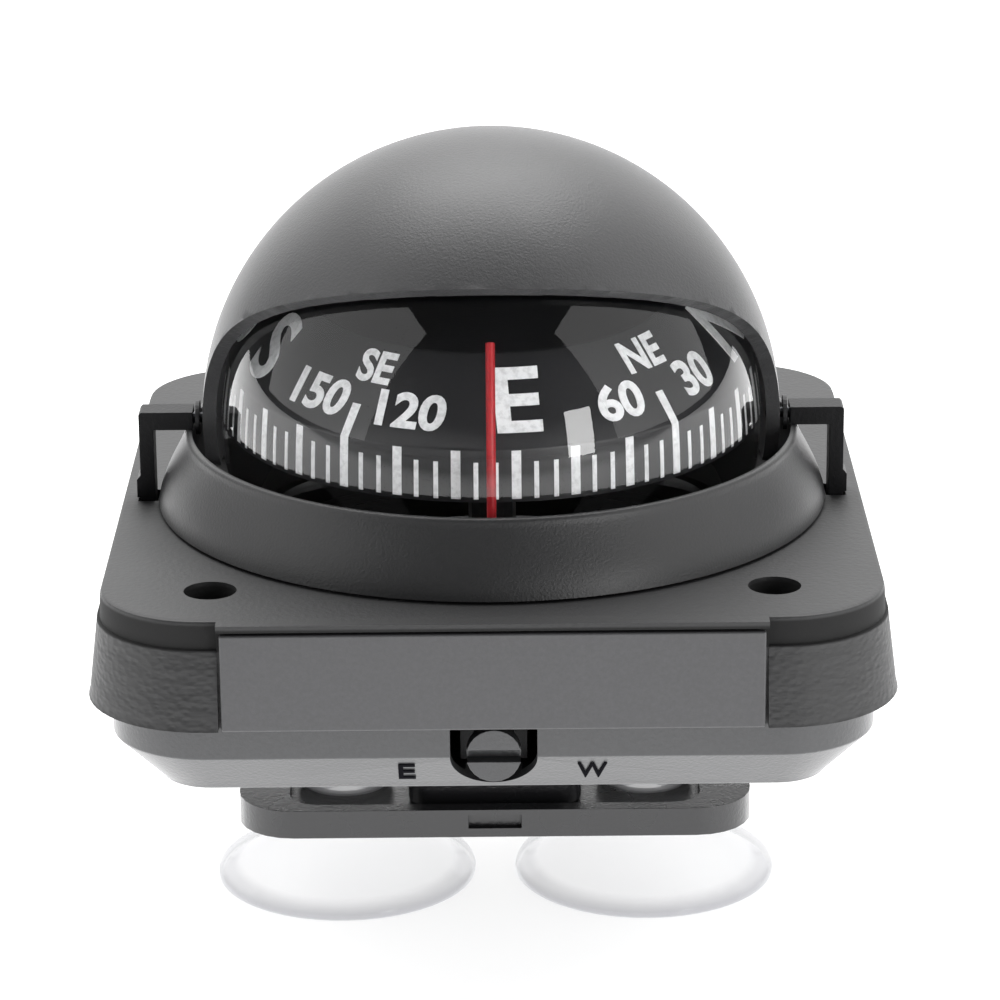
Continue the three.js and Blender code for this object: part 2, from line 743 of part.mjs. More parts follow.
/** Outline of the hood seen along X: brow curve, ear under the pivot and rising rear edge. */
function hoodSideOutline() {
  const browReach = hoodOuterRadius * Math.cos(radians(hoodBrowElevation));
  const browHeight = hoodOuterRadius * Math.sin(radians(hoodBrowElevation));
  const browScale = (browReach - hoodEarReach) / browHeight ** hoodBrowPower;
  const points = [];
  const steps = 14;
  const browTop = browHeight + hoodBrowOverrun;
  for (let i = steps; i >= 0; i--) {
    const height = (browTop * i) / steps;
    points.push([-hoodEarReach - browScale * height ** hoodBrowPower, height]);
  }
  points.push([-hoodEarReach, hoodEarRound - hoodEarDrop]);
  points.push([hoodEarRound - hoodEarReach, -hoodEarDrop]);
  points.push([hoodEarReach, -hoodEarDrop]);
  const beyond = hoodOuterRadius + overrun;
  points.push([beyond, hoodRearEdgeHeight]);
  points.push([beyond, beyond]);
  points.push([points[0][0], beyond]);
  return outlineShape(points);
}

function makeHood() {
  const width = 2 * (hoodOuterRadius + overrun);
  const sideOutline = new THREE.ExtrudeGeometry(hoodSideOutline(), { depth: width, bevelEnabled: false });
  sideOutline.translate(0, 0, -width / 2);
  const [x, y, z] = [new THREE.Vector3(0, 1, 0), new THREE.Vector3(0, 0, 1), new THREE.Vector3(1, 0, 0)];
  sideOutline.applyMatrix4(new THREE.Matrix4().makeBasis(x, y, z));
  const reach = hoodOuterRadius + overrun;
  const pinHole = rodAlongX(hoodPinRadius + runningGap, -reach, reach);
  return hoodSphere(hoodOuterRadius)
    .subtract(hoodSphere(hoodInnerRadius))
    .intersect(solidOf(sideOutline))
    .subtract(pinHole);
}

/** L-shaped strap: tongue in the top plate, leg beside the collar, bar in to the hood. */
function makeHoodArm(sign) {
  const tongueZ = topZ - armTongueBelowTop;
  const footZ = topZ + seatGap;
  const outline = outlineShape([
    [sign * armInnerFace, tongueZ],
    [sign * armOuterReach, tongueZ],
    [sign * armOuterReach, footZ],
    [sign * armFootReach, footZ],
    [sign * armFootReach, footZ + armFootHeight - armFootTaper],
    [sign * armOuterReach, footZ + armFootHeight],
    [sign * armOuterReach, armBarTop - armCornerCut],
    [sign * (armOuterReach - armCornerCut), armBarTop],
    [sign * armInnerReach, armBarTop],
    [sign * armInnerReach, armBarBottom],
    [sign * armInnerFace, armBarBottom],
  ]);
  const bore = ordered(sign, armInnerReach - overrun, hoodPinOuterEnd + seatGap);
  return extrudedAlongY(outline, armWidth, globeY)
    .subtract(rodAlongX(hoodPinRadius + runningGap, ...bore, globeY, globeZ));
}

function makeHoodPin(sign) {
  return rodAlongX(hoodPinRadius, ...ordered(sign, hoodPinInnerEnd, hoodPinOuterEnd));
}

function makeHoodWasher(sign) {
  const near = hoodOuterRadius + hoodWasherGap;
  const far = near + hoodWasherThickness;
  const hole = rodAlongX(hoodPinRadius + seatGap, ...ordered(sign, near - overrun, far + overrun));
  return rodAlongX(hoodWasherRadius, ...ordered(sign, near, far), 0, 0, middleSides).subtract(hole);
}

addPiece(globeGroup, "hood", makeHood(), "satinBlack");
for (const [side, sign] of sides) {
  addPiece(compass, `hood_arm_${side}`, makeHoodArm(sign), "satinBlack");
  addPiece(globeGroup, `hood_pin_${side}`, makeHoodPin(sign), "darkSteel");
  addPiece(globeGroup, `hood_washer_${side}`, makeHoodWasher(sign), "deepBlack");
}

// ---------------------------------------------------------------- globe, seal and bowl

function makeGlobe() {
  const lowest = elevationAt(globeRadius, flangeTop);
  const innerLowest = elevationAt(globeInnerRadius, flangeBottom);
  return turned([
    ...arcProfile(globeRadius, 90, lowest, globeArcSteps),
    [globeFlangeRadius, flangeTop],
    [globeFlangeRadius, flangeBottom],
    ...arcProfile(globeInnerRadius, innerLowest, 90, globeArcSteps),
  ]);
}

function makeGlobeSeal() {
  const outer = globeFlangeRadius - sealInset;
  return turnedRing([
    [outer - sealWidth, sealBottom],
    [outer, sealBottom],
    [outer, sealTop],
    [outer - sealWidth, sealTop],
  ]);
}

function makeBowl() {
  const dish = turned([
    [0, bowlFloorTop],
    [bowlInnerRadius, bowlFloorTop],
    [bowlInnerRadius, bowlTop],
    [bowlFlangeRadius, bowlTop],
    [bowlFlangeRadius, bowlFlangeBottom],
    [bowlOuterRadius, bowlFlangeBottom],
    [bowlOuterRadius, bowlFloorBottom],
    [0, bowlFloorBottom],
  ]);
  const through = (radius, x, y) => rod(radius, bowlFloorBottom - overrun, bowlTop + overrun, x, y);
  return cut(dish, [
    through(postShankRadius + seatGap, 0, 0),
    through(diaphragmHoleRadius, 0, diaphragmOffset),
    through(fillerShankRadius + seatGap, -fillerOffset, 0),
    ...bowlScrewPlaces().map(([x, y]) => through(bowlScrewShankRadius + seatGap, x, y - globeY)),
  ]);
}

const diaphragmTop = bowlFloorBottom - seatGap;
const diaphragmRingTop = diaphragmTop - diaphragmThickness - seatGap;

function makeDiaphragm() {
  return rod(diaphragmRadius, diaphragmTop - diaphragmThickness, diaphragmTop, 0, 0, middleSides);
}

function makeDiaphragmRing() {
  const [bottom, top] = [diaphragmRingTop - diaphragmRingThickness, diaphragmRingTop];
  return rod(diaphragmRadius, bottom, top, 0, 0, middleSides)
    .subtract(rod(diaphragmHoleRadius, bottom - overrun, top + overrun, 0, 0, middleSides));
}

function makeFillerPlug() {
  const seat = bowlFloorBottom - seatGap;
  const bottom = seat - fillerHeadHeight;
  const slotLength = 2 * (fillerHeadRadius + overrun);
  const slot = slotAcross(fillerSlotWidth, slotLength, bottom - overrun, bottom + fillerSlotDepth);
  return turned([
    [0, bowlFloorTop],
    [fillerShankRadius, bowlFloorTop],
    [fillerShankRadius, seat],
    [fillerHeadRadius, seat],
    [fillerHeadRadius, bottom],
    [0, bottom],
  ], smallSides).subtract(slot);
}

function makeBowlScrew() {
  const seat = bowlFlangeBottom - seatGap;
  const tip = flangeTop + seatGap + bowlScrewReach;
  const bottom = seat - bowlScrewHeadHeight;
  const slotLength = 2 * (bowlScrewHeadRadius + overrun);
  return rod(bowlScrewHeadRadius, bottom, seat)
    .add(rod(bowlScrewShankRadius, seat - weld, tip))
    .subtract(slotAcross(bowlScrewSlotWidth, slotLength, bottom - overrun, bottom + bowlScrewSlotDepth));
}

addPiece(globeGroup, "globe", makeGlobe(), "clearAcrylic");
addPiece(globeGroup, "globe_seal", makeGlobeSeal(), "blackRubber");
addPiece(globeGroup, "bowl", makeBowl(), "deepBlack");
addPiece(globeGroup, "diaphragm", makeDiaphragm(), "blackRubber").position.y = diaphragmOffset;
addPiece(globeGroup, "diaphragm_ring", makeDiaphragmRing(), "brass").position.y = diaphragmOffset;
addPiece(globeGroup, "filler_plug", makeFillerPlug(), "brass").position.x = -fillerOffset;
bowlScrewPlaces().forEach(([x, y], index) => {
  const screw = addPiece(globeGroup, `bowl_screw_${index + 1}`, makeBowlScrew(), "darkSteel");
  screw.position.set(x, y - globeY, 0);
});

// ---------------------------------------------------------------- lubber line and pivot

function makeLubberLine() {
  const radius = lubberPathRadius;
  const [low, high] = [elevationAt(radius, lubberBendHeight), elevationAt(radius, lubberTopHeight)];
  const footY = -radius * Math.cos(radians(low));
  const path = new THREE.CurvePath();
  path.add(new THREE.LineCurve3(
    new THREE.Vector3(0, footY, bowlFloorTop + seatGap),
    new THREE.Vector3(0, footY, lubberBendHeight - lubberRadius),
  ));
  const bend = arcProfile(radius, low, high, 8).map(([across, up]) => new THREE.Vector3(0, -across, up));
  path.add(new THREE.CatmullRomCurve3([path.curves[0].v2, ...bend.slice(1)]));
  const section = new THREE.Shape();
  section.absarc(0, 0, lubberRadius, 0, 2 * Math.PI, false);
  return solidOf(new THREE.ExtrudeGeometry(section, { steps: 14, curveSegments: 4, extrudePath: path }));
}

function makePivotPost() {
  const foot = bowlFloorTop + seatGap;
  const top = -postTopBelowCentre;
  const boreRadius = pivotPinRadius + seatGap;
  return turned([
    [0, bowlFloorBottom],
    [postShankRadius, bowlFloorBottom],
    [postShankRadius, foot],
    [postFootRadius, foot],
    [postFootRadius, foot + postFootHeight],
    [postRadius, foot + postFootHeight],
    [postRadius, top],
    [boreRadius, top],
    [boreRadius, top - pivotPinDepth - seatGap],
    [0, top - pivotPinDepth - seatGap],
  ], smallSides);
}

function makePivotPin() {
  return turned([
    [0, -postTopBelowCentre - pivotPinDepth],
    [pivotPinRadius, -postTopBelowCentre - pivotPinDepth],
    [pivotPinRadius, pivotTipAboveCentre - pivotTipLength],
    [0, pivotTipAboveCentre],
  ], smallSides);
}

addPiece(globeGroup, "lubber_line", makeLubberLine(), "lubberRed");
addPiece(globeGroup, "pivot_post", makePivotPost(), "deepBlack");
addPiece(globeGroup, "pivot_pin", makePivotPin(), "steel");

// ---------------------------------------------------------------- card and what it carries

const jewelApex = pivotTipAboveCentre + jewelTipClearance;
const jewelMouth = jewelApex - jewelHeight / 2;
const cardInnerRadius = cardRadius - cardWall;
const hubRimRadius = cardInnerRadius - seatGap;
const hubDiscTop = hubDiscBottom + hubDiscThickness;

function makeCard() {
  return turned([
    [0, cardTopHeight],
    [cardTopRadius, cardTopHeight],
    [cardRadius, cardSkirtTop],
    [cardRadius, cardSkirtBottom],
    [cardInnerRadius, cardSkirtBottom],
    [cardInnerRadius, cardSkirtTop - cardWall / 2],
    [cardTopRadius - cardWall / 2, cardTopHeight - cardWall],
    [0, cardTopHeight - cardWall],
  ]);
}

function makeCardHub() {
  const sleeveRadius = jewelRadius + seatGap;
  const sleeveTop = jewelMouth + jewelHeight + seatGap;
  const hub = turned([
    [0, sleeveTop + hubSleeveRoof],
    [hubBossRadius, sleeveTop + hubSleeveRoof],
    [hubBossRadius, hubDiscTop],
    [hubRimRadius, hubDiscTop],
    [hubRimRadius, hubDiscBottom],
    [hubBossRadius, hubDiscBottom],
    [hubBossRadius, jewelMouth],
    [sleeveRadius, jewelMouth],
    [sleeveRadius, sleeveTop],
    [0, sleeveTop],
  ], middleSides);
  const holes = [];
  const circleRadius = (hubBossRadius + hubRimRadius) / 2;
  for (let i = 0; i < hubHoleCount; i++) {
    const angle = radians((360 * (i + 0.5)) / hubHoleCount);
    const [x, y] = [circleRadius * Math.cos(angle), circleRadius * Math.sin(angle)];
    holes.push(rod(hubHoleRadius, hubDiscBottom - overrun, hubDiscTop + overrun, x, y));
  }
  return cut(hub, holes);
}

function makeJewelCup() {
  return turned([
    [0, jewelMouth + jewelHeight],
    [jewelRadius, jewelMouth + jewelHeight],
    [jewelRadius, jewelMouth],
    [jewelMouthRadius, jewelMouth],
    [0, jewelApex],
  ], smallSides);
}

function makeCardMagnet(sign) {
  const top = hubDiscBottom - seatGap;
  const centre = sign * cardMagnetOffset;
  return block(
    [-cardMagnetLength / 2, centre - cardMagnetSection / 2, top - cardMagnetSection],
    [cardMagnetLength / 2, centre + cardMagnetSection / 2, top],
  );
}

// The card's north mark lies along +X of this group, so the turn sets the heading at the window.
const cardGroup = new THREE.Group();
cardGroup.rotation.z = radians(cardHeadingDegrees - 90);
globeGroup.add(cardGroup);
addPiece(cardGroup, "card", makeCard(), "cardBlack");
addPiece(cardGroup, "card_hub", makeCardHub(), "nylonWhite");
addPiece(cardGroup, "jewel_cup", makeJewelCup(), "jewelRed");
for (const [side, sign] of sides) {
  addPiece(cardGroup, `card_magnet_${side}`, makeCardMagnet(sign), "darkSteel");
}

// ---------------------------------------------------------------- compensators

const headFront = compensatorHeadSink;
const headBack = headFront + compensatorHeadLength;
const rodFront = headBack + compensatorNeckLength;
const rodBack = rodFront + compensatorRodLength;
const magnetPlace = rodBack - compensatorMagnetInset;

/** Cylinder along Y between two distances in from the tray's wall. */
function rodInward(radius, fromY, toY, segments = smallSides) {
  const geometry = new THREE.CylinderGeometry(radius, radius, toY - fromY, segments);
  geometry.translate(0, (fromY + toY) / 2, 0);
  return solidOf(geometry);
}

function makeCompensatorScrew() {
  const slotHalf = compensatorSlotWidth / 2;
  const reach = compensatorHeadRadius + overrun;
  const slotBack = headFront + compensatorSlotDepth;
  const slot = block([-reach, headFront - overrun, -slotHalf], [reach, slotBack, slotHalf]);
  const magnetReach = compensatorRodRadius + overrun;
  return rodInward(compensatorHeadRadius, headFront, headBack, middleSides)
    .add(rodInward(compensatorNeckRadius, headBack - weld, rodFront + weld))
    .add(rodInward(compensatorRodRadius, rodFront, rodBack, middleSides))
    .subtract(slot)
    .subtract(rod(compensatorMagnetRadius + seatGap, -magnetReach, magnetReach, 0, magnetPlace));
}

function makeCompensatorMagnet() {
  const half = compensatorRodRadius - seatGap;
  return rod(compensatorMagnetRadius, -half, half, 0, magnetPlace);
}

function makeCompensatorBearing() {
  const bottom = trayFloorTopZ + seatGap - compensatorZ;
  const front = traySlopeRun + trayWall + seatGap;
  const back = front + bearingLength;
  const boreRadius = compensatorRodRadius + runningGap;
  const reach = boreRadius + bearingWall;
  return block([-reach, front, bottom], [reach, back, reach])
    .subtract(rodInward(boreRadius, front - overrun, back + overrun, middleSides));
}

const compensators = [
  { name: "front", x: 0, y: -trayHalfDepth, turnDegrees: 0 },
  { name: "side", x: trayHalfWidth, y: 0, turnDegrees: 90 },
];
for (const { name, x, y, turnDegrees } of compensators) {
  const group = new THREE.Group();
  group.position.set(x, y, compensatorZ);
  group.rotation.z = radians(turnDegrees);
  compass.add(group);
  addPiece(group, `${name}_compensator_screw`, makeCompensatorScrew(), "trayGrey");
  addPiece(group, `${name}_compensator_magnet`, makeCompensatorMagnet(), "darkSteel");
  addPiece(group, `${name}_compensator_bearing`, makeCompensatorBearing(), "deepBlack");
}

// ---------------------------------------------------------------- pedestal, plate and cups

const pedestalBottomZ = pocketFloorZ + seatGap;
const pedestalTopZ = trayBottomZ - seatGap;

function makePedestal() {
  const section = {
    halfWidth: pedestalWidth / 2,
    halfDepth: pedestalDepth / 2,
    radius: pedestalCornerRadius,
  };
  const body = stacked([{ ...section, z: pedestalBottomZ }, { ...section, z: pedestalTopZ }], 4);
  const holes = [];
  for (const [, sign] of sides) {
    const radius = standScrewShankRadius + seatGap;
    const depth = standScrewGrip + seatGap;
    holes.push(rod(radius, pedestalBottomZ - overrun, pedestalBottomZ + depth, sign * plateScrewSpread, 0));
    holes.push(rod(radius, pedestalTopZ - depth, pedestalTopZ + overrun, 0, sign * trayScrewSpread));
  }
  return cut(body, holes);
}

function makeCupPlate() {
  const pocket = {
    halfWidth: platePocketLength / 2,
    halfDepth: platePocketDepth / 2,
    radius: platePocketCornerRadius,
  };
  const section = {
    halfWidth: pocket.halfWidth + plateEndWall,
    halfDepth: pocket.halfDepth + plateSideWall,
    radius: plateCornerRadius,
  };
  const front = -section.halfDepth;
  const notchMiddle = (plateBottomZ + plateTopZ) / 2 + plateNotchRise;
  const holes = [stacked([{ ...pocket, z: pocketFloorZ }, { ...pocket, z: plateTopZ + overrun }], 4)];
  holes.push(block(
    [-plateNotchWidth / 2, front - overrun, notchMiddle - plateNotchHeight / 2],
    [plateNotchWidth / 2, front + plateNotchDepth, notchMiddle + plateNotchHeight / 2],
  ));
  for (const [, sign] of sides) {
    const through = [plateBottomZ - overrun, plateTopZ + overrun];
    holes.push(rod(cupNeckRadius + seatGap, ...through, (sign * cupSpacing) / 2, 0, middleSides));
    holes.push(rod(standScrewShankRadius + seatGap, ...through, sign * plateScrewSpread, 0));
  }
  return cut(stacked([{ ...section, z: plateBottomZ }, { ...section, z: plateTopZ }], 6), holes);
}

/** Pan-headed screw with its head below the seat and its shank above it. */
function makeStandScrew(length) {
  const slotLength = 2 * (standScrewHeadRadius + overrun);
  const [bottom, slotTop] = [-standScrewHeadHeight, standScrewSlotDepth - standScrewHeadHeight];
  const slot = slotAcross(standScrewSlotWidth, slotLength, bottom - overrun, slotTop);
  return turned([
    [0, bottom],
    [standScrewHeadRadius - standScrewHeadRound, bottom],
    [standScrewHeadRadius, bottom + standScrewHeadRound],
    [standScrewHeadRadius, 0],
    [standScrewShankRadius, 0],
    [standScrewShankRadius, length],
    [0, length],
  ], smallSides).subtract(slot);
}

function makeSuctionCup() {
  const headBottom = pocketFloorZ + seatGap;
  const headTop = headBottom + cupHeadHeight;
  return turned([
    [0, headTop],
    [cupHeadRadius - cupHeadRound, headTop],
    [cupHeadRadius, headTop - cupHeadRound],
    [cupHeadRadius, headBottom],
    [cupNeckRadius, headBottom],
    [cupNeckRadius, cupShoulderZ],
    [cupShoulderRadius, cupShoulderZ],
    [cupRadius - cupWall, cupLipThickness + cupWall],
    [cupRadius, cupLipThickness],
    [cupRadius, 0],
    [cupRadius - cupRimWidth, 0],
    [cupShoulderRadius - cupWall, cupCrownZ - cupWall],
    [0, cupCrownZ],
  ], middleSides);
}

addPiece(compass, "pedestal", makePedestal(), "deepBlack");
addPiece(compass, "cup_plate", makeCupPlate(), "deepBlack");
for (const [side, sign] of sides) {
  const cup = addPiece(compass, `suction_cup_${side}`, makeSuctionCup(), "clearVinyl");
  cup.position.x = (sign * cupSpacing) / 2;
}

const plateScrewSeatZ = plateBottomZ - seatGap;
const plateScrewLength = pedestalBottomZ + standScrewGrip - plateScrewSeatZ;
const trayScrewSeatZ = trayFloorTopZ + seatGap;
const trayScrewLength = trayScrewSeatZ - (pedestalTopZ - standScrewGrip);
sides.forEach(([, sign], index) => {
  const plateScrew = makeStandScrew(plateScrewLength);
  const plateMesh = addPiece(compass, `plate_screw_${index + 1}`, plateScrew, "darkSteel");
  plateMesh.position.set(sign * plateScrewSpread, 0, plateScrewSeatZ);
  const trayScrew = makeStandScrew(trayScrewLength);
  const trayMesh = addPiece(compass, `tray_screw_${index + 1}`, trayScrew, "darkSteel");
  trayMesh.position.set(0, sign * trayScrewSpread, trayScrewSeatZ);
  trayMesh.rotation.x = Math.PI;
});

export default compass;
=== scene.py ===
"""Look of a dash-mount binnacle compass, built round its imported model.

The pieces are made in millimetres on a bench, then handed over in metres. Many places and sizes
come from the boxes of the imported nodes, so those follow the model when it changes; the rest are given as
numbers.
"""

import json
import logging
import math
from dataclasses import dataclass, field
from enum import Enum
from typing import Callable, Optional, Sequence

import bmesh
import bpy
from mathutils import Matrix, Vector

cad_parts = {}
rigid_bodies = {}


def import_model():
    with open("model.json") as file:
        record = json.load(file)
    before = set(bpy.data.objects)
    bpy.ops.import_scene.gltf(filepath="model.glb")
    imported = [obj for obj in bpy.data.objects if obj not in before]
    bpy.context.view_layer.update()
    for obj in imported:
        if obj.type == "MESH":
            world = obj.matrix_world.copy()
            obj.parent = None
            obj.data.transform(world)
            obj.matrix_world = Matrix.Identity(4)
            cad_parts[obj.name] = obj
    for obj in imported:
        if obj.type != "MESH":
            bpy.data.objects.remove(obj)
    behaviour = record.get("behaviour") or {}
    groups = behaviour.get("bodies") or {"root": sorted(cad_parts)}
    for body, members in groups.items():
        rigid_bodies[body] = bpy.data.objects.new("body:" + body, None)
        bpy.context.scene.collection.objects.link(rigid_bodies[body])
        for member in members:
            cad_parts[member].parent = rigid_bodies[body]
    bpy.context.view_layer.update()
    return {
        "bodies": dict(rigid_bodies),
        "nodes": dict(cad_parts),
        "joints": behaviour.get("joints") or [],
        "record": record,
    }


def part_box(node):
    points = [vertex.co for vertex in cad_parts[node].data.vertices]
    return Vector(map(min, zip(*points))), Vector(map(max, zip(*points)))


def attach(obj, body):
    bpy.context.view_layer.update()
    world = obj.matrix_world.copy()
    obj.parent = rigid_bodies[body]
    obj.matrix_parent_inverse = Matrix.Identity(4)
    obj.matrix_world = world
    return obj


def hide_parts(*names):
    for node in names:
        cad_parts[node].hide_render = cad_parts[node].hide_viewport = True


LOG = logging.getLogger("compass")
MM = 0.001
SIDES = ("left", "right")
GLOBE_RADIUS = 28.0
SEAT_GAP = 0.3  # between pieces that fit together
OVERCUT = 1.0  # how far a cutter reaches past what it cuts
SHEER = 0.001  # least inset of a ring that rises straight
CORNER_STEPS = 14
DISC_STEPS = 64
CAPITAL_HEIGHT = 0.7  # of lettering whose size is 1
Piece = bpy.types.Object
Point = tuple[float, float, float]
Profile = list[tuple[float, float]]


class Body(Enum):
    """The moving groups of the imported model."""

    BASE = "base"
    HOOD = "hood"
    CARD = "card"
    FRONT_COMPENSATOR = "front_compensator"
    SIDE_COMPENSATOR = "side_compensator"


# ---------------------------------------------------------------- shader maths


class Wire:
    """One output of a shader node, with arithmetic that adds Math nodes."""

    def __init__(self, shader: "Shader", socket: bpy.types.NodeSocket) -> None:
        """Keep the shader and the socket that the wire starts from."""
        self.shader = shader
        self.socket = socket

    def _maths(self, operation: str, *values: "Wire | float") -> "Wire":
        """Add one Math node on these values."""
        return self.shader.node("ShaderNodeMath", {"operation": operation}, dict(enumerate(values)))

    def __add__(self, other: "Wire | float") -> "Wire":
        """Sum."""
        return self._maths("ADD", self, other)

    __radd__ = __add__

    def __mul__(self, other: "Wire | float") -> "Wire":
        """Product."""
        return self._maths("MULTIPLY", self, other)

    def __sub__(self, other: "Wire | float") -> "Wire":
        """Difference."""
        return self._maths("SUBTRACT", self, other)

    def __rsub__(self, other: "Wire | float") -> "Wire":
        """Difference from a number."""
        return self._maths("SUBTRACT", other, self)

    def ramp(self, low: float, high: float) -> "Wire":
        """Rise smoothly from 0 at low to 1 at high.

        Args:
            low: Value that becomes 0.
            high: Value that becomes 1.

        Returns:
            The eased value.
        """
        settings = {"interpolation_type": "SMOOTHSTEP"}
        values = {"Value": self, "From Min": low, "From Max": high}
        return self.shader.node("ShaderNodeMapRange", settings, values)


class Shader:
    """A material's node tree."""

    def __init__(self, name: str) -> None:
        """Start an empty tree with its output node."""
        self.material = bpy.data.materials.new(name)
        self.material.use_nodes = True
        self.tree = self.material.node_tree
        self.tree.nodes.clear()
        self.output = self.tree.nodes.new("ShaderNodeOutputMaterial")

    def node(self, kind: str, settings: dict, values: dict, output: "int | str" = 0) -> Wire:
        """Add a node.

        Args:
            kind: Node type.
            settings: Node properties, set before the sockets.
            values: Socket name or number to a number, a colour or a Wire.
            output: Name or number of the output that is wanted.

        Returns:
            The wanted output.
        """
        made = self.tree.nodes.new(kind)
        for key, value in settings.items():
            setattr(made, key, value)
        for key, value in values.items():
            if isinstance(value, Wire):
                self.tree.links.new(value.socket, made.inputs[key])
            else:
                made.inputs[key].default_value = value
        return Wire(self, made.outputs[output])

    def place(self) -> Wire:
        """Object coordinates, in metres in the model's frame."""
        return self.node("ShaderNodeTexCoord", {}, {}, "Object")

    def axis(self, name: str) -> Wire:
        """One of the object coordinates X, Y or Z."""
        return self.node("ShaderNodeSeparateXYZ", {}, {"Vector": self.place()}, name)

    def stretched(self, scale: Point) -> Wire:
        """Object coordinates with each axis scaled."""
        return self.node("ShaderNodeMapping", {}, {"Vector": self.place(), "Scale": scale})

    def noise(self, scale: float, detail: float = 3.0, place: Optional[Wire] = None) -> Wire:
        """Noise from 0 to 1.

        Args:
            scale: Cells per metre.
            detail: Octaves.
            place: Coordinates, or none for object coordinates.

        Returns:
            The noise value.
        """
        values = {"Vector": place or self.place(), "Scale": scale, "Detail": detail, "Roughness": 0.6}
        return self.node("ShaderNodeTexNoise", {}, values, "Fac")

    def pebbles(self, scale: float, place: Optional[Wire] = None) -> Wire:
        """Rounded cells, 0 at their middles."""
        settings = {"feature": "SMOOTH_F1"}
        values = {"Vector": place or self.place(), "Scale": scale, "Smoothness": 0.6}
        return self.node("ShaderNodeTexVoronoi", settings, values, "Distance")

    def blend(self, factor: Wire, low: "Sequence[float] | Wire", high: "Sequence[float] | Wire") -> Wire:
        """Mix two colours, each a red, green and blue triple or a Wire."""
        low, high = (end if isinstance(end, Wire) else (*end, 1.0) for end in (low, high))
        return self.node("ShaderNodeMix", {"data_type": "RGBA"}, {0: factor, 6: low, 7: high}, 2)

    def bump(self, height: Wire, depth: float) -> Wire:
        """Normal from a height map whose full range is depth metres."""
        return self.node("ShaderNodeBump", {}, {"Height": height, "Distance": depth, "Strength": 1.0})

    def principled(self, values: dict) -> Wire:
        """Add the Principled shader."""
        return self.node("ShaderNodeBsdfPrincipled", {}, values)

    def finish(self, surface: Wire) -> bpy.types.Material:
        """Send a shader to the output and give the material."""
        self.tree.links.new(surface.socket, self.output.inputs["Surface"])
        return self.material


# ---------------------------------------------------------------- finishes


@dataclass(frozen=True)
class MouldedPlastic:
    """Moulded plastic with a fine grain, faint mottling and lighter flecks where the grain stands high."""

    name: str
    colour: tuple[float, float, float]
    roughness: float = 0.5
    grain_per_metre: float = 2600.0
    grain_depth: float = 0.00004
    mottle_per_metre: float = 70.0
    mottle: float = 0.16
    lift: float = 1.5
    shine: float = 0.5

    def make(self) -> bpy.types.Material:
        """Build the material."""
        shader = Shader(self.name)
        grain = shader.noise(self.grain_per_metre, 2.0)
        mottle = shader.noise(self.mottle_per_metre, 4.0)
        light = [channel * self.lift for channel in self.colour]
        mask = (mottle * self.mottle + grain * 0.35).ramp(0.1, 0.55)
        return shader.finish(shader.principled({
            "Base Color": shader.blend(mask, self.colour, light),
            "Roughness": self.roughness + (mottle - 0.5) * 0.12,
            "Specular IOR Level": self.shine,
            "Normal": shader.bump(grain, self.grain_depth),
        }))


@dataclass(frozen=True)
class WrinkledPlastic:
    """Housing plastic: pebbled top, smooth band under the edge painted dark as shade, and wrinkled lower
    walls.
    """

    name: str
    colour: tuple[float, float, float]
    band_bottom: float
    band_top: float
    band_edge: float = 0.0003
    roughness: float = 0.6
    wrinkles_per_metre: float = 230.0
    pebbles_per_metre: float = 1300.0
    grain_per_metre: float = 1500.0
    fine_per_metre: float = 2400.0
    mottle_per_metre: float = 60.0
    relief_depth: float = 0.00019
    lift: float = 1.35
    # how dark the painted shade on the smooth band is
    band_painted_shade: float = 0.2

    def make(self) -> bpy.types.Material:
        """Build the material."""
        shader = Shader(self.name)
        height = shader.axis("Z")
        wall = 1.0 - height.ramp(self.band_bottom - self.band_edge, self.band_bottom)
        top = height.ramp(self.band_top - self.band_edge, self.band_top)
        wrinkles = shader.noise(self.wrinkles_per_metre, 3.0, shader.stretched((0.6, 0.6, 2.6)))
        pebbles = shader.pebbles(self.pebbles_per_metre, shader.stretched((1.0, 1.0, 1.5)))
        fine = shader.noise(self.fine_per_metre, 2.0)
        coarse = wrinkles * 0.75 + pebbles * 0.35
        grain = shader.pebbles(self.grain_per_metre) * 0.5 + fine * 0.5
        relief = coarse * wall + grain * top * 0.22 + fine * 0.06
        mottle = shader.noise(self.mottle_per_metre, 4.0)
        mask = (mottle * 0.6 + fine * 0.3).ramp(0.25, 0.75)
        light = [channel * self.lift for channel in self.colour]
        # the smooth band under the edge is painted dark, standing in for the shade that falls on it
        band = [channel * self.band_painted_shade for channel in self.colour]
        plain = shader.blend(mask, self.colour, light)
        return shader.finish(shader.principled({
            "Base Color": shader.blend(wall + top, band, plain),
            "Roughness": self.roughness + (1.0 - wall - top) * 0.3 + (mottle - 0.5) * 0.1,
            "Normal": shader.bump(relief, self.relief_depth),
        }))


@dataclass(frozen=True)
class ClearPlastic:
    """Clear plastic that lets lamps through to what it holds."""

    name: str
    tint: tuple[float, float, float]
    ior: float
    roughness: float = 0.0

    def make(self) -> bpy.types.Material:
        """Build the material."""
        shader = Shader(self.name)
        clear = shader.principled({
            "Base Color": (*self.tint, 1.0),
            "Roughness": self.roughness,
            "IOR": self.ior,
            "Transmission Weight": 1.0,
        })
        through = shader.node("ShaderNodeBsdfTransparent", {}, {"Color": (*self.tint, 1.0)})
        lamp_ray = shader.node("ShaderNodeLightPath", {}, {}, "Is Shadow Ray")
        return shader.finish(shader.node("ShaderNodeMixShader", {}, {0: lamp_ray, 1: clear, 2: through}))


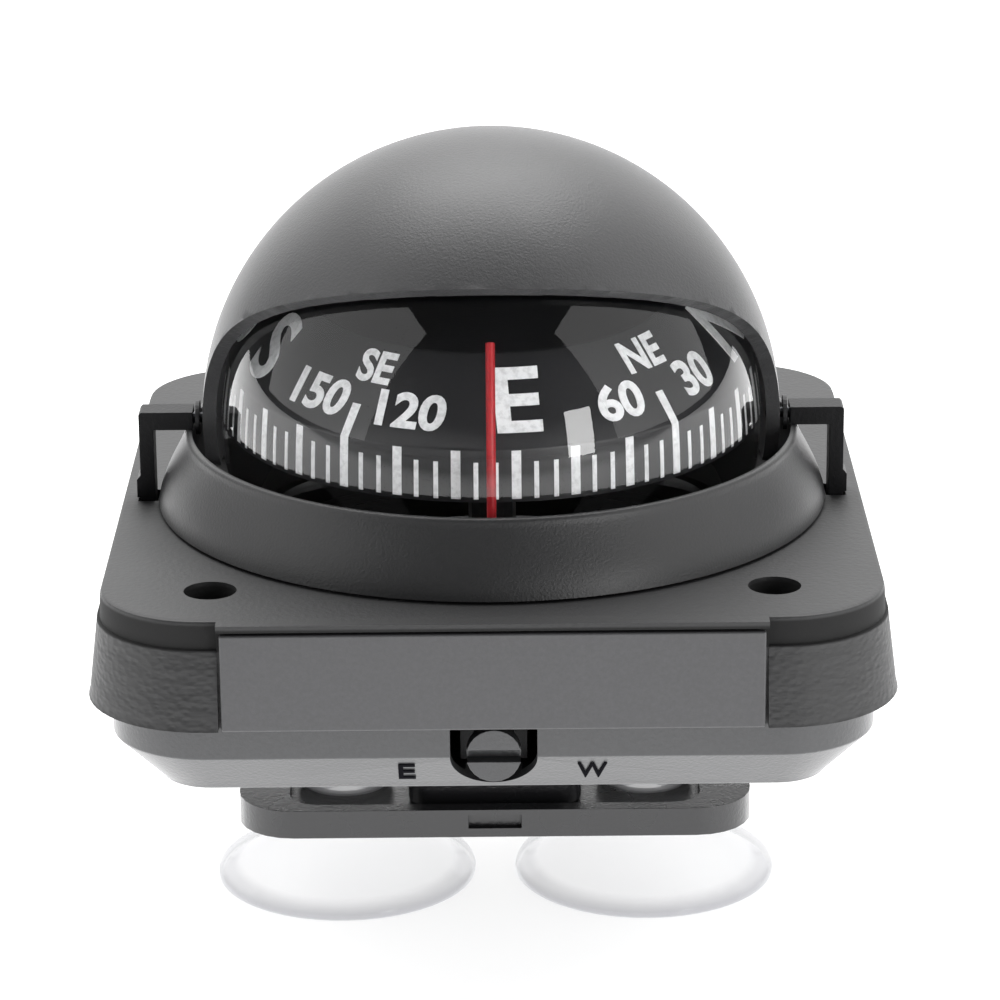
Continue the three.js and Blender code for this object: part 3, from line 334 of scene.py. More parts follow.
@dataclass(frozen=True)
class SoftVinyl:
    """Clear soft vinyl: faint walls, denser and bluer in the thick rim."""

    name: str
    body: tuple[float, float, float]
    rim: tuple[float, float, float]
    rim_height: float
    head: tuple[float, float, float] = (0.34, 0.34, 0.35)
    head_height: float = 0.0066
    head_blend: float = 0.0034
    body_alpha: float = 0.06
    rim_alpha: float = 0.26
    head_alpha: float = 0.7
    roughness: float = 0.12

    def make(self) -> bpy.types.Material:
        """Build the material."""
        shader = Shader(self.name)
        cloud = shader.noise(120.0, 3.0)
        above = shader.axis("Z").ramp(self.rim_height * 0.6, self.rim_height * 1.6)
        head = shader.axis("Z").ramp(self.head_height, self.head_height + self.head_blend)
        alpha = above * (self.body_alpha - self.rim_alpha) + head * (self.head_alpha - self.body_alpha)
        return shader.finish(shader.principled({
            "Base Color": shader.blend(above, self.rim, shader.blend(head, self.body, self.head)),
            "Roughness": self.roughness + (cloud - 0.5) * 0.1,
            "Alpha": alpha + cloud * 0.02 + (self.rim_alpha - 0.01),
        }))


@dataclass(frozen=True)
class PrintedInk:
    """Thick printed ink with a slightly uneven face."""

    name: str
    colour: tuple[float, float, float]
    roughness: float = 0.45

    def make(self) -> bpy.types.Material:
        """Build the material."""
        shader = Shader(self.name)
        blotch = shader.noise(1600.0, 3.0)
        dull = [channel * 0.78 for channel in self.colour]
        return shader.finish(shader.principled({
            "Base Color": shader.blend(blotch.ramp(0.3, 0.6), dull, self.colour),
            "Roughness": self.roughness + (blotch - 0.5) * 0.2,
            "Normal": shader.bump(blotch, 0.00002),
        }))


@dataclass(frozen=True)
class TurnedMetal:
    """Metal with fine tool marks and slight tarnish."""

    name: str
    colour: tuple[float, float, float]
    roughness: float = 0.3

    def make(self) -> bpy.types.Material:
        """Build the material."""
        shader = Shader(self.name)
        marks = shader.noise(1500.0, 2.0, shader.stretched((1.0, 1.0, 6.0)))
        tarnish = shader.noise(400.0, 3.0).ramp(0.45, 0.75)
        dull = [channel * 0.6 for channel in self.colour]
        return shader.finish(shader.principled({
            "Base Color": shader.blend(tarnish, self.colour, dull),
            "Metallic": 1.0,
            "Roughness": self.roughness + marks * 0.15,
            "Normal": shader.bump(marks, 0.00001),
        }))


# ---------------------------------------------------------------- bench


def deselect() -> None:
    """Deselect every object."""
    for obj in list(bpy.context.selected_objects):
        obj.select_set(False)


def activate(obj: Piece) -> None:
    """Make this the only selected object, and the active one."""
    deselect()
    obj.select_set(True)
    bpy.context.view_layer.objects.active = obj


def in_scene(name: str, data: bpy.types.ID) -> Piece:
    """Put data into the scene as an object."""
    obj = bpy.data.objects.new(name, data)
    bpy.context.scene.collection.objects.link(obj)
    return obj


def just_made(name: str) -> Piece:
    """Name the object that an operator has just made."""
    obj = bpy.context.active_object
    obj.name = name
    return obj


def new_mesh(name: str, points: Sequence[Point], edges: Sequence, faces: Sequence) -> Piece:
    """Make an object from points, edges and faces."""
    mesh = bpy.data.meshes.new(name)
    mesh.from_pydata(points, edges, faces)
    return in_scene(name, mesh)


def shift(obj: Piece, place: Sequence[float]) -> None:
    """Move a mesh within its object."""
    obj.data.transform(Matrix.Translation(place))


def turn(obj: Piece, degrees: float, axis: str) -> None:
    """Turn a mesh about an axis of its object."""
    obj.data.transform(Matrix.Rotation(math.radians(degrees), 4, axis))


def stretch(obj: Piece, factors: Sequence[float]) -> None:
    """Scale a mesh along each axis of its object."""
    obj.data.transform(Matrix.Diagonal((*factors, 1.0)))


def in_edit_mode(obj: Piece, work: Callable[[], None]) -> None:
    """Run mesh operators on the whole of an object."""
    activate(obj)
    bpy.ops.object.mode_set(mode="EDIT")
    bpy.ops.mesh.select_all(action="SELECT")
    work()
    bpy.ops.object.mode_set(mode="OBJECT")


def weld_and_face_out() -> None:
    """Merge doubled points and turn the faces outward."""
    bpy.ops.mesh.select_all(action="SELECT")
    bpy.ops.mesh.remove_doubles(threshold=0.0005)
    bpy.ops.mesh.normals_make_consistent(inside=False)


def lathed(name: str, profile: Profile, centre: Point, steps: int, closed: bool = False) -> Piece:
    """Spin a profile about the Z axis.

    Args:
        name: Name of the piece.
        profile: Radius and height pairs, from the centre.
        centre: Where the axis stands, and the height that the profile counts from.
        steps: Segments round the axis.
        closed: Whether the profile closes on itself; otherwise it starts and ends on the axis.

    Returns:
        The piece.
    """
    points = [(radius, 0.0, height) for radius, height in profile]
    edges = [(i, i + 1) for i in range(len(points) - 1)]
    if closed:
        edges.append((len(points) - 1, 0))
    obj = new_mesh(name, points, edges, [])

    def spin() -> None:
        bpy.ops.mesh.spin(steps=steps, angle=2 * math.pi, center=(0, 0, 0), axis=(0, 0, 1))
        weld_and_face_out()

    in_edit_mode(obj, spin)
    shift(obj, centre)
    return obj


def rounded_block(
    name: str, half: tuple[float, float], corner: float, start: float, rings: Profile, upward: bool = True,
) -> Piece:
    """Raise a rounded rectangle ring by ring.

    Args:
        name: Name of the piece.
        half: Half width and half depth of the first outline.
        corner: Radius of its corners.
        start: Height of the first outline.
        rings: For each ring, how far it moves in and how far it rises.
        upward: Whether it rises or goes down.

    Returns:
        The closed piece.
    """
    deselect()
    bpy.ops.mesh.primitive_plane_add(size=2, location=(0, 0, 0))
    obj = just_made(name)
    obj.data.name = name
    stretch(obj, (*half, 1.0))
    shift(obj, (0, 0, start))

    def raise_rings() -> None:
        if not upward:
            bpy.ops.mesh.flip_normals()
        bpy.ops.mesh.bevel(offset=corner, segments=CORNER_STEPS, affect="VERTICES", offset_type="OFFSET")
        bpy.ops.mesh.select_all(action="SELECT")
        for inward, rise in rings:
            bpy.ops.mesh.inset(thickness=inward, depth=rise, use_even_offset=True)
        bpy.ops.mesh.select_all(action="DESELECT")
        bpy.ops.mesh.select_mode(type="EDGE")
        bpy.ops.mesh.select_non_manifold()
        bpy.ops.mesh.edge_face_add()
        bpy.ops.mesh.select_mode(type="FACE")
        weld_and_face_out()

    in_edit_mode(obj, raise_rings)
    return obj


def box_piece(name: str, low: Sequence[float], high: Sequence[float]) -> Piece:
    """Make a box between two corners."""
    deselect()
    bpy.ops.mesh.primitive_cube_add(size=1, location=(0, 0, 0))
    obj = just_made(name)
    stretch(obj, [b - a for a, b in zip(low, high)])
    shift(obj, [(a + b) / 2 for a, b in zip(low, high)])
    return obj


def disc_piece(name: str, radius: float, low: float, high: float, x: float, y: float) -> Piece:
    """Make an upright cylinder between two heights."""
    deselect()
    depth = high - low
    bpy.ops.mesh.primitive_cylinder_add(vertices=DISC_STEPS, radius=radius, depth=depth, location=(0, 0, 0))
    obj = just_made(name)
    shift(obj, (x, y, (low + high) / 2))
    return obj


def apply_modifier(piece: Piece, kind: str, **settings: object) -> None:
    """Add a modifier with these settings and apply it."""
    modifier = piece.modifiers.new(kind.lower(), kind)
    for key, value in settings.items():
        setattr(modifier, key, value)
    activate(piece)
    bpy.ops.object.modifier_apply(modifier=modifier.name)


def combine(piece: Piece, tools: Sequence[Piece], operation: str) -> None:
    """Apply a Boolean of each tool to a piece and remove the tool."""
    for tool in tools:
        apply_modifier(piece, "BOOLEAN", operation=operation, solver="EXACT", object=tool)
        bpy.data.objects.remove(tool)


def soften(piece: Piece, width: float, segments: int = 2, degrees: float = 35.0) -> None:
    """Round a piece's sharp edges."""
    apply_modifier(
        piece, "BEVEL", width=width, segments=segments, limit_method="ANGLE",
        angle_limit=math.radians(degrees), miter_outer="MITER_ARC", use_clamp_overlap=True,
    )


def smooth(piece: Piece, degrees: float = 35.0) -> None:
    """Shade smooth up to an angle, with flat faces kept flat."""
    activate(piece)
    bpy.ops.object.shade_smooth_by_angle(angle=math.radians(degrees))
    apply_modifier(piece, "WEIGHTED_NORMAL", keep_sharp=True)


def copied_node(name: str, node: Piece) -> Piece:
    """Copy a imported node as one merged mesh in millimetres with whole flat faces.

    Args:
        name: Name of the copy.
        node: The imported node.

    Returns:
        The copy.
    """
    obj = in_scene(name, node.data.copy())
    obj.data.materials.clear()
    obj.data.transform(Matrix.Scale(1 / MM, 4))

    def merge() -> None:
        bpy.ops.mesh.remove_doubles(threshold=0.001)
        bpy.ops.mesh.dissolve_limited(angle_limit=math.radians(0.6))

    in_edit_mode(obj, merge)
    return obj


def flat_text(name: str, words: str, height: float, thickness: float, weight: float, width: float) -> Piece:
    """Make raised lettering in the XY plane, centred, with its face up.

    Args:
        name: Name of the piece.
        words: The letters or figures.
        height: Height of the capitals.
        thickness: Depth of the letters.
        weight: How far the strokes are fattened.
        width: How far the letters are drawn together or apart.

    Returns:
        The lettering as a mesh.
    """
    deselect()
    bpy.ops.object.text_add(location=(0, 0, 0))
    text = just_made(name).data
    text.body = words
    text.align_x = text.align_y = "CENTER"
    text.size = height / CAPITAL_HEIGHT
    text.extrude = thickness / 2
    text.offset = weight
    text.resolution_u = 5
    bpy.ops.object.convert(target="MESH")
    obj = bpy.context.active_object
    lows, highs = ([pick(v.co[axis] for v in obj.data.vertices) for axis in range(2)] for pick in (min, max))
    shift(obj, (-(lows[0] + highs[0]) / 2, -(lows[1] + highs[1]) / 2, 0))
    stretch(obj, (width, 1.0, 1.0))
    in_edit_mode(obj, weld_and_face_out)
    return obj


def span(node: str) -> tuple[Vector, Vector]:
    """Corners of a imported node's box, in millimetres."""
    low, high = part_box(node)
    return low / MM, high / MM


def centre_of(node: str) -> Vector:
    """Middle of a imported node's box, in millimetres."""
    low, high = span(node)
    return (low + high) / 2


def numbered(stem: str, count: int) -> list[str]:
    """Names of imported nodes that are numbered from 1."""
    return [f"{stem}_{index}" for index in range(1, count + 1)]


def arm_cutter(side: str, reaches: Sequence[float], bottom: float, top: float) -> Piece:
    """Cutter that clears one of the hood's arms, between two distances out and two heights."""
    low, high = span(f"hood_arm_{side}")
    xs = sorted(math.copysign(reach, low.x) for reach in reaches)
    return box_piece("slot", (xs[0], low.y - SEAT_GAP, bottom), (xs[1], high.y + SEAT_GAP, top))


@dataclass
class Workshop:
    """Hands finished pieces over to the model and keeps the finishes."""

    frame: dict
    finishes: dict[str, bpy.types.Material] = field(default_factory=dict)

    def finish(self, name: str) -> bpy.types.Material:
        """Give the material of a finish, making it the first time."""
        if name not in self.finishes:
            self.finishes[name] = FINISHES[name].make()
        return self.finishes[name]

    def hand_over(
        self, piece: Piece, body: Body, finish: str, replaces: Sequence[str] = (),
    ) -> None:
        """Scale a piece to metres, dress it and set it on its body.

        Args:
            piece: The piece, in millimetres.
            body: What it moves with.
            finish: Name of its finish.
            replaces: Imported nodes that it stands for.
        """
        piece.data.transform(Matrix.Scale(MM, 4))
        piece.data.materials.clear()
        piece.data.materials.append(self.finish(finish))
        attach(piece, body.value)
        if replaces:
            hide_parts(*replaces)
        LOG.info("%s: %d faces on %s", piece.name, len(piece.data.polygons), body.value)

    def dress(self, finish: str, *nodes: str) -> None:
        """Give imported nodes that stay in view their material."""
        for node in nodes:
            materials = self.frame["nodes"][node].data.materials
            materials.clear()
            materials.append(self.finish(finish))


FINISHES: dict = {
    "hood": MouldedPlastic("hood_plastic", (0.026, 0.026, 0.027), 0.47, grain_per_metre=3600),
    "collar": MouldedPlastic("collar_plastic", (0.009, 0.009, 0.0095), 0.46, grain_per_metre=3600),
    "arm": MouldedPlastic("arm_plastic", (0.004, 0.004, 0.0045), 0.5, shine=0.15),
    "plate": MouldedPlastic("front_plate_plastic", (0.034, 0.034, 0.036), 0.5, grain_depth=0.00002),
    "tray": MouldedPlastic("tray_plastic", (0.026, 0.0265, 0.028), 0.36),
    "stand": MouldedPlastic("stand_plastic", (0.011, 0.011, 0.012), 0.27),
    "inside": MouldedPlastic("inner_plastic", (0.006, 0.006, 0.007), 0.6),
    "rubber": MouldedPlastic("seal_rubber", (0.01, 0.01, 0.011), 0.8),
    "nylon": MouldedPlastic("nylon", (0.62, 0.6, 0.56), 0.5, lift=1.15),
    "card": MouldedPlastic("card_face", (0.008, 0.008, 0.009), 0.4, grain_depth=0.00001),
    "mark": MouldedPlastic("mark_ink", (0.005, 0.005, 0.006), 0.9, shine=0.0),
    "ink": PrintedInk("white_ink", (0.85, 0.86, 0.87)),
    "lubber": PrintedInk("red_enamel", (0.42, 0.008, 0.014)),
    "jewel": PrintedInk("jewel_stone", (0.3, 0.01, 0.04), 0.1),
    "globe": ClearPlastic("globe_acrylic", (1.0, 1.0, 1.0), ior=1.42),
    "vinyl": SoftVinyl("cup_vinyl", (0.12, 0.125, 0.15), (0.06, 0.062, 0.1), rim_height=0.001),
    "steel": TurnedMetal("steel", (0.56, 0.57, 0.58)),
    "dark_steel": TurnedMetal("blackened_steel", (0.06, 0.062, 0.066), 0.38),
    "brass": TurnedMetal("brass", (0.7, 0.5, 0.2)),
}


# ---------------------------------------------------------------- sub-assemblies


@dataclass
class Levels:
    """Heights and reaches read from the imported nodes, in millimetres."""

    parting: float
    top: float
    half_width: float
    half_depth: float
    tray_low: float
    tray_high: float
    tray_half: tuple[float, float]
    sphere: float
    eye: Vector

    @classmethod
    def read(cls) -> "Levels":
        """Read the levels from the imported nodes."""
        housing_low, housing_high = span("upper_housing")
        tray_low, tray_high = span("lower_tray")
        hood_low, hood_high = span("hood")
        return cls(
            parting=housing_low.z, top=housing_high.z,
            half_width=housing_high.x, half_depth=-housing_low.y,
            tray_low=tray_low.z, tray_high=span("front_plate")[0].z - SEAT_GAP,
            tray_half=(tray_high.x, -tray_low.y), sphere=(hood_high.x - hood_low.x) / 2,
            eye=Vector((0.0, centre_of("card").y, span("globe")[1].z - GLOBE_RADIUS)),
        )


@dataclass
class Housing:
    """Upper housing with its front plate, and the tray below it."""

    levels: Levels
    corner: float = 12.0
    wall: float = 2.4
    top_wall: float = 2.2
    draft: float = 7.5
    foot_round: tuple[float, float] = (0.12, 0.35)
    band: float = 2.8
    band_step: float = 0.3
    band_fade: float = 0.3
    edge_round: float = 0.5
    plate_thickness: float = 0.8
    plate_round: float = 0.22
    lip: float = 0.75
    screw_hole: float = 2.6
    screw_sink: float = 5.7
    shank_hole: float = 1.6
    shank_drop: float = 3.0
    tray_screw_hole: float = 1.4
    boss: float = 4.0
    boss_floor: float = 2.0
    tray_boss: float = 3.0
    globe_hole: float = 27.48
    globe_hole_depth: float = 4.0
    arm_bend: float = 0.4
    arm_slot: float = 1.8
    arm_slot_drop: float = 0.5
    tray_wall: float = 2.0
    tray_floor: float = 1.8
    slope_run: float = 5.1
    slope_rise: float = 5.1
    tray_inset: float = 2.2
    opening_gap: float = 1.55
    opening_depth: float = 7.0
    mark_height: float = 3.5
    mark_level: float = 0.56

    def build(self, shop: Workshop) -> None:
        """Make the housing, plate and tray."""
        self.build_upper(shop)
        self.build_plate(shop)
        self.build_tray(shop)
        self.build_marks(shop)
        shop.dress("dark_steel", *numbered("housing_screw", 4))

    def build_upper(self, shop: Workshop) -> None:
        """Raise the drafted shell, hollow it and cut its openings."""
        lv = self.levels
        rise = lv.top - lv.parting - self.band
        taper = math.tan(math.radians(self.draft)) * rise
        foot_in, foot_up = self.foot_round
        rings = [
            (foot_in, foot_up),
            (taper - foot_in, rise - foot_up - foot_in),
            (self.band_step, foot_in),
            (0.1, self.band - self.edge_round),
            (self.edge_round * 0.3, self.edge_round * 0.7),
            (self.edge_round * 0.7, self.edge_round * 0.3),
        ]
        shell = rounded_block(
            "upper_housing_shell", (lv.half_width, lv.half_depth), self.corner, lv.parting, rings,
        )
        hollow = rounded_block(
            "hollow", (lv.half_width - self.wall, lv.half_depth - self.wall), self.corner - self.wall,
            lv.parting - OVERCUT, [(SHEER, OVERCUT), (taper, lv.top - self.top_wall - lv.parting)],
        )
        front = -lv.half_depth
        plate_low, plate_high = span("front_plate")
        reach = plate_high.x + SEAT_GAP
        pad = box_piece("pad", (-reach, front, lv.parting), (reach, front + self.wall, lv.top - 0.05))
        pocket = box_piece(
            "pocket", (plate_low.x - SEAT_GAP, front - OVERCUT, lv.parting - OVERCUT),
            (reach, front + self.plate_thickness + SEAT_GAP, lv.top - self.lip),
        )
        combine(shell, [pad], "UNION")
        combine(shell, [hollow, pocket], "DIFFERENCE")
        seat = lv.top - self.screw_sink
        places = [centre_of(node).xy for node in numbered("housing_screw", 4)]
        under = lv.top - self.top_wall + 0.2
        bosses = [disc_piece("boss", self.boss, seat - self.boss_floor, under, *place) for place in places]
        combine(shell, bosses, "UNION")
        above = lv.top + OVERCUT
        holes = [disc_piece("hole", self.screw_hole, seat, above, *place) for place in places]
        for place in places:
            holes.append(disc_piece("hole", self.shank_hole, seat - self.shank_drop, seat + OVERCUT, *place))
        holes.append(disc_piece("hole", self.globe_hole, lv.top - self.globe_hole_depth, above, 0, lv.eye.y))
        for side in SIDES:
            low, high = span(f"hood_arm_{side}")
            face = max(abs(low.x), abs(high.x)) - self.arm_bend
            reaches = (face - self.arm_slot, face + SEAT_GAP)
            holes.append(arm_cutter(side, reaches, low.z - self.arm_slot_drop, above))
        combine(shell, holes, "DIFFERENCE")
        soften(shell, 0.16, 2, 40.0)
        smooth(shell)
        shop.hand_over(shell, Body.BASE, "housing", ["upper_housing"])

    def build_plate(self, shop: Workshop) -> None:
        """Make the blank plate, with a softly rounded edge."""
        plate = box_piece("front_plate_face", *span("front_plate"))
        soften(plate, self.plate_round, 3)
        smooth(plate)
        shop.hand_over(plate, Body.BASE, "plate", ["front_plate"])

    def opening(self, degrees: float, distance: float, middle: float, half: float) -> Piece:
        """Cutter for the U-shaped opening round a compensator, in a wall at this turn and distance."""
        near, far = -distance - OVERCUT, self.opening_depth - distance
        cutter = box_piece("opening", (-half, near, middle), (half, far, self.levels.tray_high + OVERCUT))
        round_end = disc_piece("round_end", half, near, far, 0, 0)
        turn(round_end, 90, "X")
        stretch(round_end, (1, -1, 1))
        round_end.data.flip_normals()
        shift(round_end, (0, -2 * distance + 6, middle))
        low = min(vertex.co.y for vertex in round_end.data.vertices)
        shift(round_end, (0, near - low, 0))
        combine(cutter, [round_end], "UNION")
        turn(cutter, degrees, "Z")
        return cutter

    def build_tray(self, shop: Workshop) -> None:
        """Make the tray with its undercut slope and the two openings."""
        lv = self.levels
        band = lv.tray_high - lv.tray_low - self.slope_rise
        corner = self.corner - self.tray_inset
        rings = [
            (0.1, 0.1), (SHEER, band - 0.3), (0.08, 0.2),
            (self.slope_run - 0.6, self.slope_rise - 0.6), (0.22, 0.3), (0.4, 0.2),
        ]
        tray = rounded_block("tray_shell", lv.tray_half, corner, lv.tray_high, rings, upward=False)
        lower = self.slope_rise - self.tray_floor
        hollow = rounded_block(
            "hollow", tuple(half - self.tray_wall for half in lv.tray_half), corner - self.tray_wall,
            lv.tray_high + OVERCUT,
            [(SHEER, band + OVERCUT), (self.slope_run * lower / self.slope_rise, lower)], upward=False,
        )
        head_low, head_high = span("front_compensator_screw")
        middle = (head_low.z + head_high.z) / 2
        half = (head_high.x - head_low.x) / 2 + self.opening_gap
        front = self.opening(0.0, lv.tray_half[1], middle, half)
        right = self.opening(90.0, lv.tray_half[0], middle, half)
        combine(tray, [hollow, front, right], "DIFFERENCE")
        boss_top = lv.top - self.screw_sink - self.boss_floor - SEAT_GAP
        bosses, holes = [], []
        for node in numbered("housing_screw", 4):
            place = centre_of(node).xy
            bottom = span(node)[0].z - SEAT_GAP
            bosses.append(disc_piece("boss", self.tray_boss, lv.tray_low + OVERCUT, boss_top, *place))
            holes.append(disc_piece("hole", self.shank_hole, bottom, boss_top + OVERCUT, *place))
        for node in numbered("tray_screw", 2):
            ends = (lv.tray_low - OVERCUT, lv.tray_low + 3)
            holes.append(disc_piece("hole", self.tray_screw_hole, *ends, 0, centre_of(node).y))
        combine(tray, bosses, "UNION")
        combine(tray, holes, "DIFFERENCE")
        soften(tray, 0.12, 2, 40.0)
        smooth(tray)
        shop.hand_over(tray, Body.BASE, "tray", ["lower_tray"])

    def build_marks(self, shop: Workshop) -> None:
        """Stand the compass letters of the compensator screw on the tray's front slope."""
        lv = self.levels
        lean = 90 - math.degrees(math.atan2(self.slope_rise, self.slope_run))
        middle = self.slope_rise * self.mark_level
        y = -lv.tray_half[1] + self.slope_run * (1 - middle / self.slope_rise)
        for letter, x, width in (("E", -8.5, 0.8), ("W", 9.6, 0.54)):
            mark = flat_text(f"mark_{letter}", letter, self.mark_height, 0.08, 0.06, width)
            turn(mark, 90, "X")
            turn(mark, lean, "X")
            shift(mark, (x, y + 0.02, lv.tray_low + middle + 0.02))
            shop.hand_over(mark, Body.BASE, "mark")


@dataclass
class Collar:
    """Raised ring round the globe."""

    levels: Levels
    lip: float = 31.0
    base: float = 34.7
    base_width: float = 2.0
    lip_width: float = 0.8
    lip_flat: float = 0.36
    lip_round: tuple[float, float] = (0.44, 0.64)
    bulge: float = 0.5
    steps: int = 20
    arm_height: float = 1.9

    def build(self, shop: Workshop) -> None:
        """Spin the ring and notch it for the hood's arms."""
        lv = self.levels
        low, high = lv.top + SEAT_GAP, span("collar")[1].z
        across, up = self.lip_round
        shoulder = high - up
        profile = [(self.lip, low), (self.lip + self.base_width, low)]
        for i in range(self.steps + 1):
            t = i / self.steps
            radius = self.base + (self.lip + self.lip_width - self.base) * t
            radius += self.bulge * math.sin(math.pi * t) * (1 - t)
            profile.append((radius, low + (shoulder - low) * t))
        for degrees in (22.5, 45.0, 67.5, 90.0):
            angle = math.radians(degrees)
            radius = self.lip + self.lip_flat + across * math.cos(angle)
            profile.append((radius, shoulder + up * math.sin(angle)))
        profile += [(self.lip + 0.1, high), (self.lip, high - 0.12)]
        ring = lathed("collar_ring", profile, (0.0, lv.eye.y, 0.0), 180, closed=True)
        reaches = (self.lip - OVERCUT, self.base + OVERCUT)
        notches = []
        for side in SIDES:
            bottom = span(f"hood_arm_{side}")[1].z - self.arm_height - SEAT_GAP
            notches.append(arm_cutter(side, reaches, bottom, high + OVERCUT))
        combine(ring, notches, "DIFFERENCE")
        smooth(ring, 40.0)
        shop.hand_over(ring, Body.BASE, "collar", ["collar"])


@dataclass
class Hood:
    """Thin spherical hood, its arms, pins and washers."""

    levels: Levels
    wall: float = 1.4
    brow_elevation: float = 41.35
    ear_reach: float = 2.6
    brow_power: float = 2.5
    brow_steps: int = 40
    ear_drop: float = 5.0
    ear_round: float = 1.4
    rear_edge: float = 8.5
    steps: int = 176
    pin_gap: float = 0.1
    rim_round: float = 0.28
    skin: float = 0.12

    def outline(self) -> list[tuple[float, float]]:
        """Outline of the hood seen along X, from the hood's centre."""
        outer = self.levels.sphere
        reach = outer * math.cos(math.radians(self.brow_elevation))
        height = outer * math.sin(math.radians(self.brow_elevation))
        scale = (reach - self.ear_reach) / height**self.brow_power
        top = height + 2.4
        points = []
        for i in range(self.brow_steps, -1, -1):
            z = top * i / self.brow_steps
            points.append((-self.ear_reach - scale * z**self.brow_power, z))
        for degrees in range(180, 271, 15):
            angle = math.radians(degrees)
            across = self.ear_round - self.ear_reach + self.ear_round * math.cos(angle)
            points.append((across, self.ear_round - self.ear_drop + self.ear_round * math.sin(angle)))
        beyond = outer + OVERCUT
        points += [(self.ear_reach, -self.ear_drop), (beyond, self.rear_edge), (beyond, beyond)]
        return [*points, (points[0][0], beyond)]

    def keeper(self) -> Piece:
        """Block with the hood's outline, which keeps what lies inside it."""
        outline = self.outline()
        width = self.levels.sphere + 2 * OVERCUT
        count = len(outline)
        points = [(x, y, z) for x in (-width, width) for y, z in outline]
        sides = [(i, (i + 1) % count, count + (i + 1) % count, count + i) for i in range(count)]
        caps = [tuple(range(count)), tuple(range(2 * count - 1, count - 1, -1))]
        block = new_mesh("keeper", points, [], sides + caps)
        in_edit_mode(block, weld_and_face_out)
        return block

    def keep_skin(self, shell: Piece) -> None:
        """Drop the cut faces inside the sphere and turn the rest outward."""
        work = bmesh.new()
        work.from_mesh(shell.data)
        inmost = self.levels.sphere - self.skin
        inner = [face for face in work.faces if face.calc_center_median().length < inmost]
        bmesh.ops.delete(work, geom=inner, context="FACES")
        bmesh.ops.remove_doubles(work, verts=work.verts[:], dist=0.02)
        bmesh.ops.recalc_face_normals(work, faces=work.faces[:])
        if sum(face.normal.dot(face.calc_center_median()) for face in work.faces) < 0:
            bmesh.ops.reverse_faces(work, faces=work.faces[:])
        work.to_mesh(shell.data)
        work.free()

    def build(self, shop: Workshop) -> None:
        """Cut the shell from a sphere, thicken it and round its rim."""
        lv = self.levels
        outer = lv.sphere
        half_turn = self.steps // 2
        angles = [math.pi * i / half_turn for i in range(half_turn + 1)]
        arc = [(outer * math.sin(angle), -outer * math.cos(angle)) for angle in angles]
        shell = lathed("hood_shell", arc, (0, 0, 0), self.steps)
        combine(shell, [self.keeper()], "INTERSECT")
        self.keep_skin(shell)
        apply_modifier(shell, "SOLIDIFY", thickness=self.wall, offset=-1.0)
        shift(shell, lv.eye)
        pin_low, pin_high = span("hood_pin_left")
        radius = (pin_high.z - pin_low.z) / 2 + self.pin_gap
        pin = disc_piece("pin_hole", radius, -outer - 2 * OVERCUT, outer + 2 * OVERCUT, 0, 0)
        turn(pin, 90, "Y")
        shift(pin, lv.eye)
        combine(shell, [pin], "DIFFERENCE")
        soften(shell, self.rim_round, 3, 50.0)
        smooth(shell, 40.0)
        shop.hand_over(shell, Body.HOOD, "hood", ["hood"])
        for side in SIDES:
            node = f"hood_arm_{side}"
            arm = copied_node(f"{node}_strap", shop.frame["nodes"][node])
            soften(arm, 0.18)
            smooth(arm)
            shop.hand_over(arm, Body.BASE, "arm", [node])
            shop.dress("dark_steel", f"hood_pin_{side}")
            shop.dress("inside", f"hood_washer_{side}")


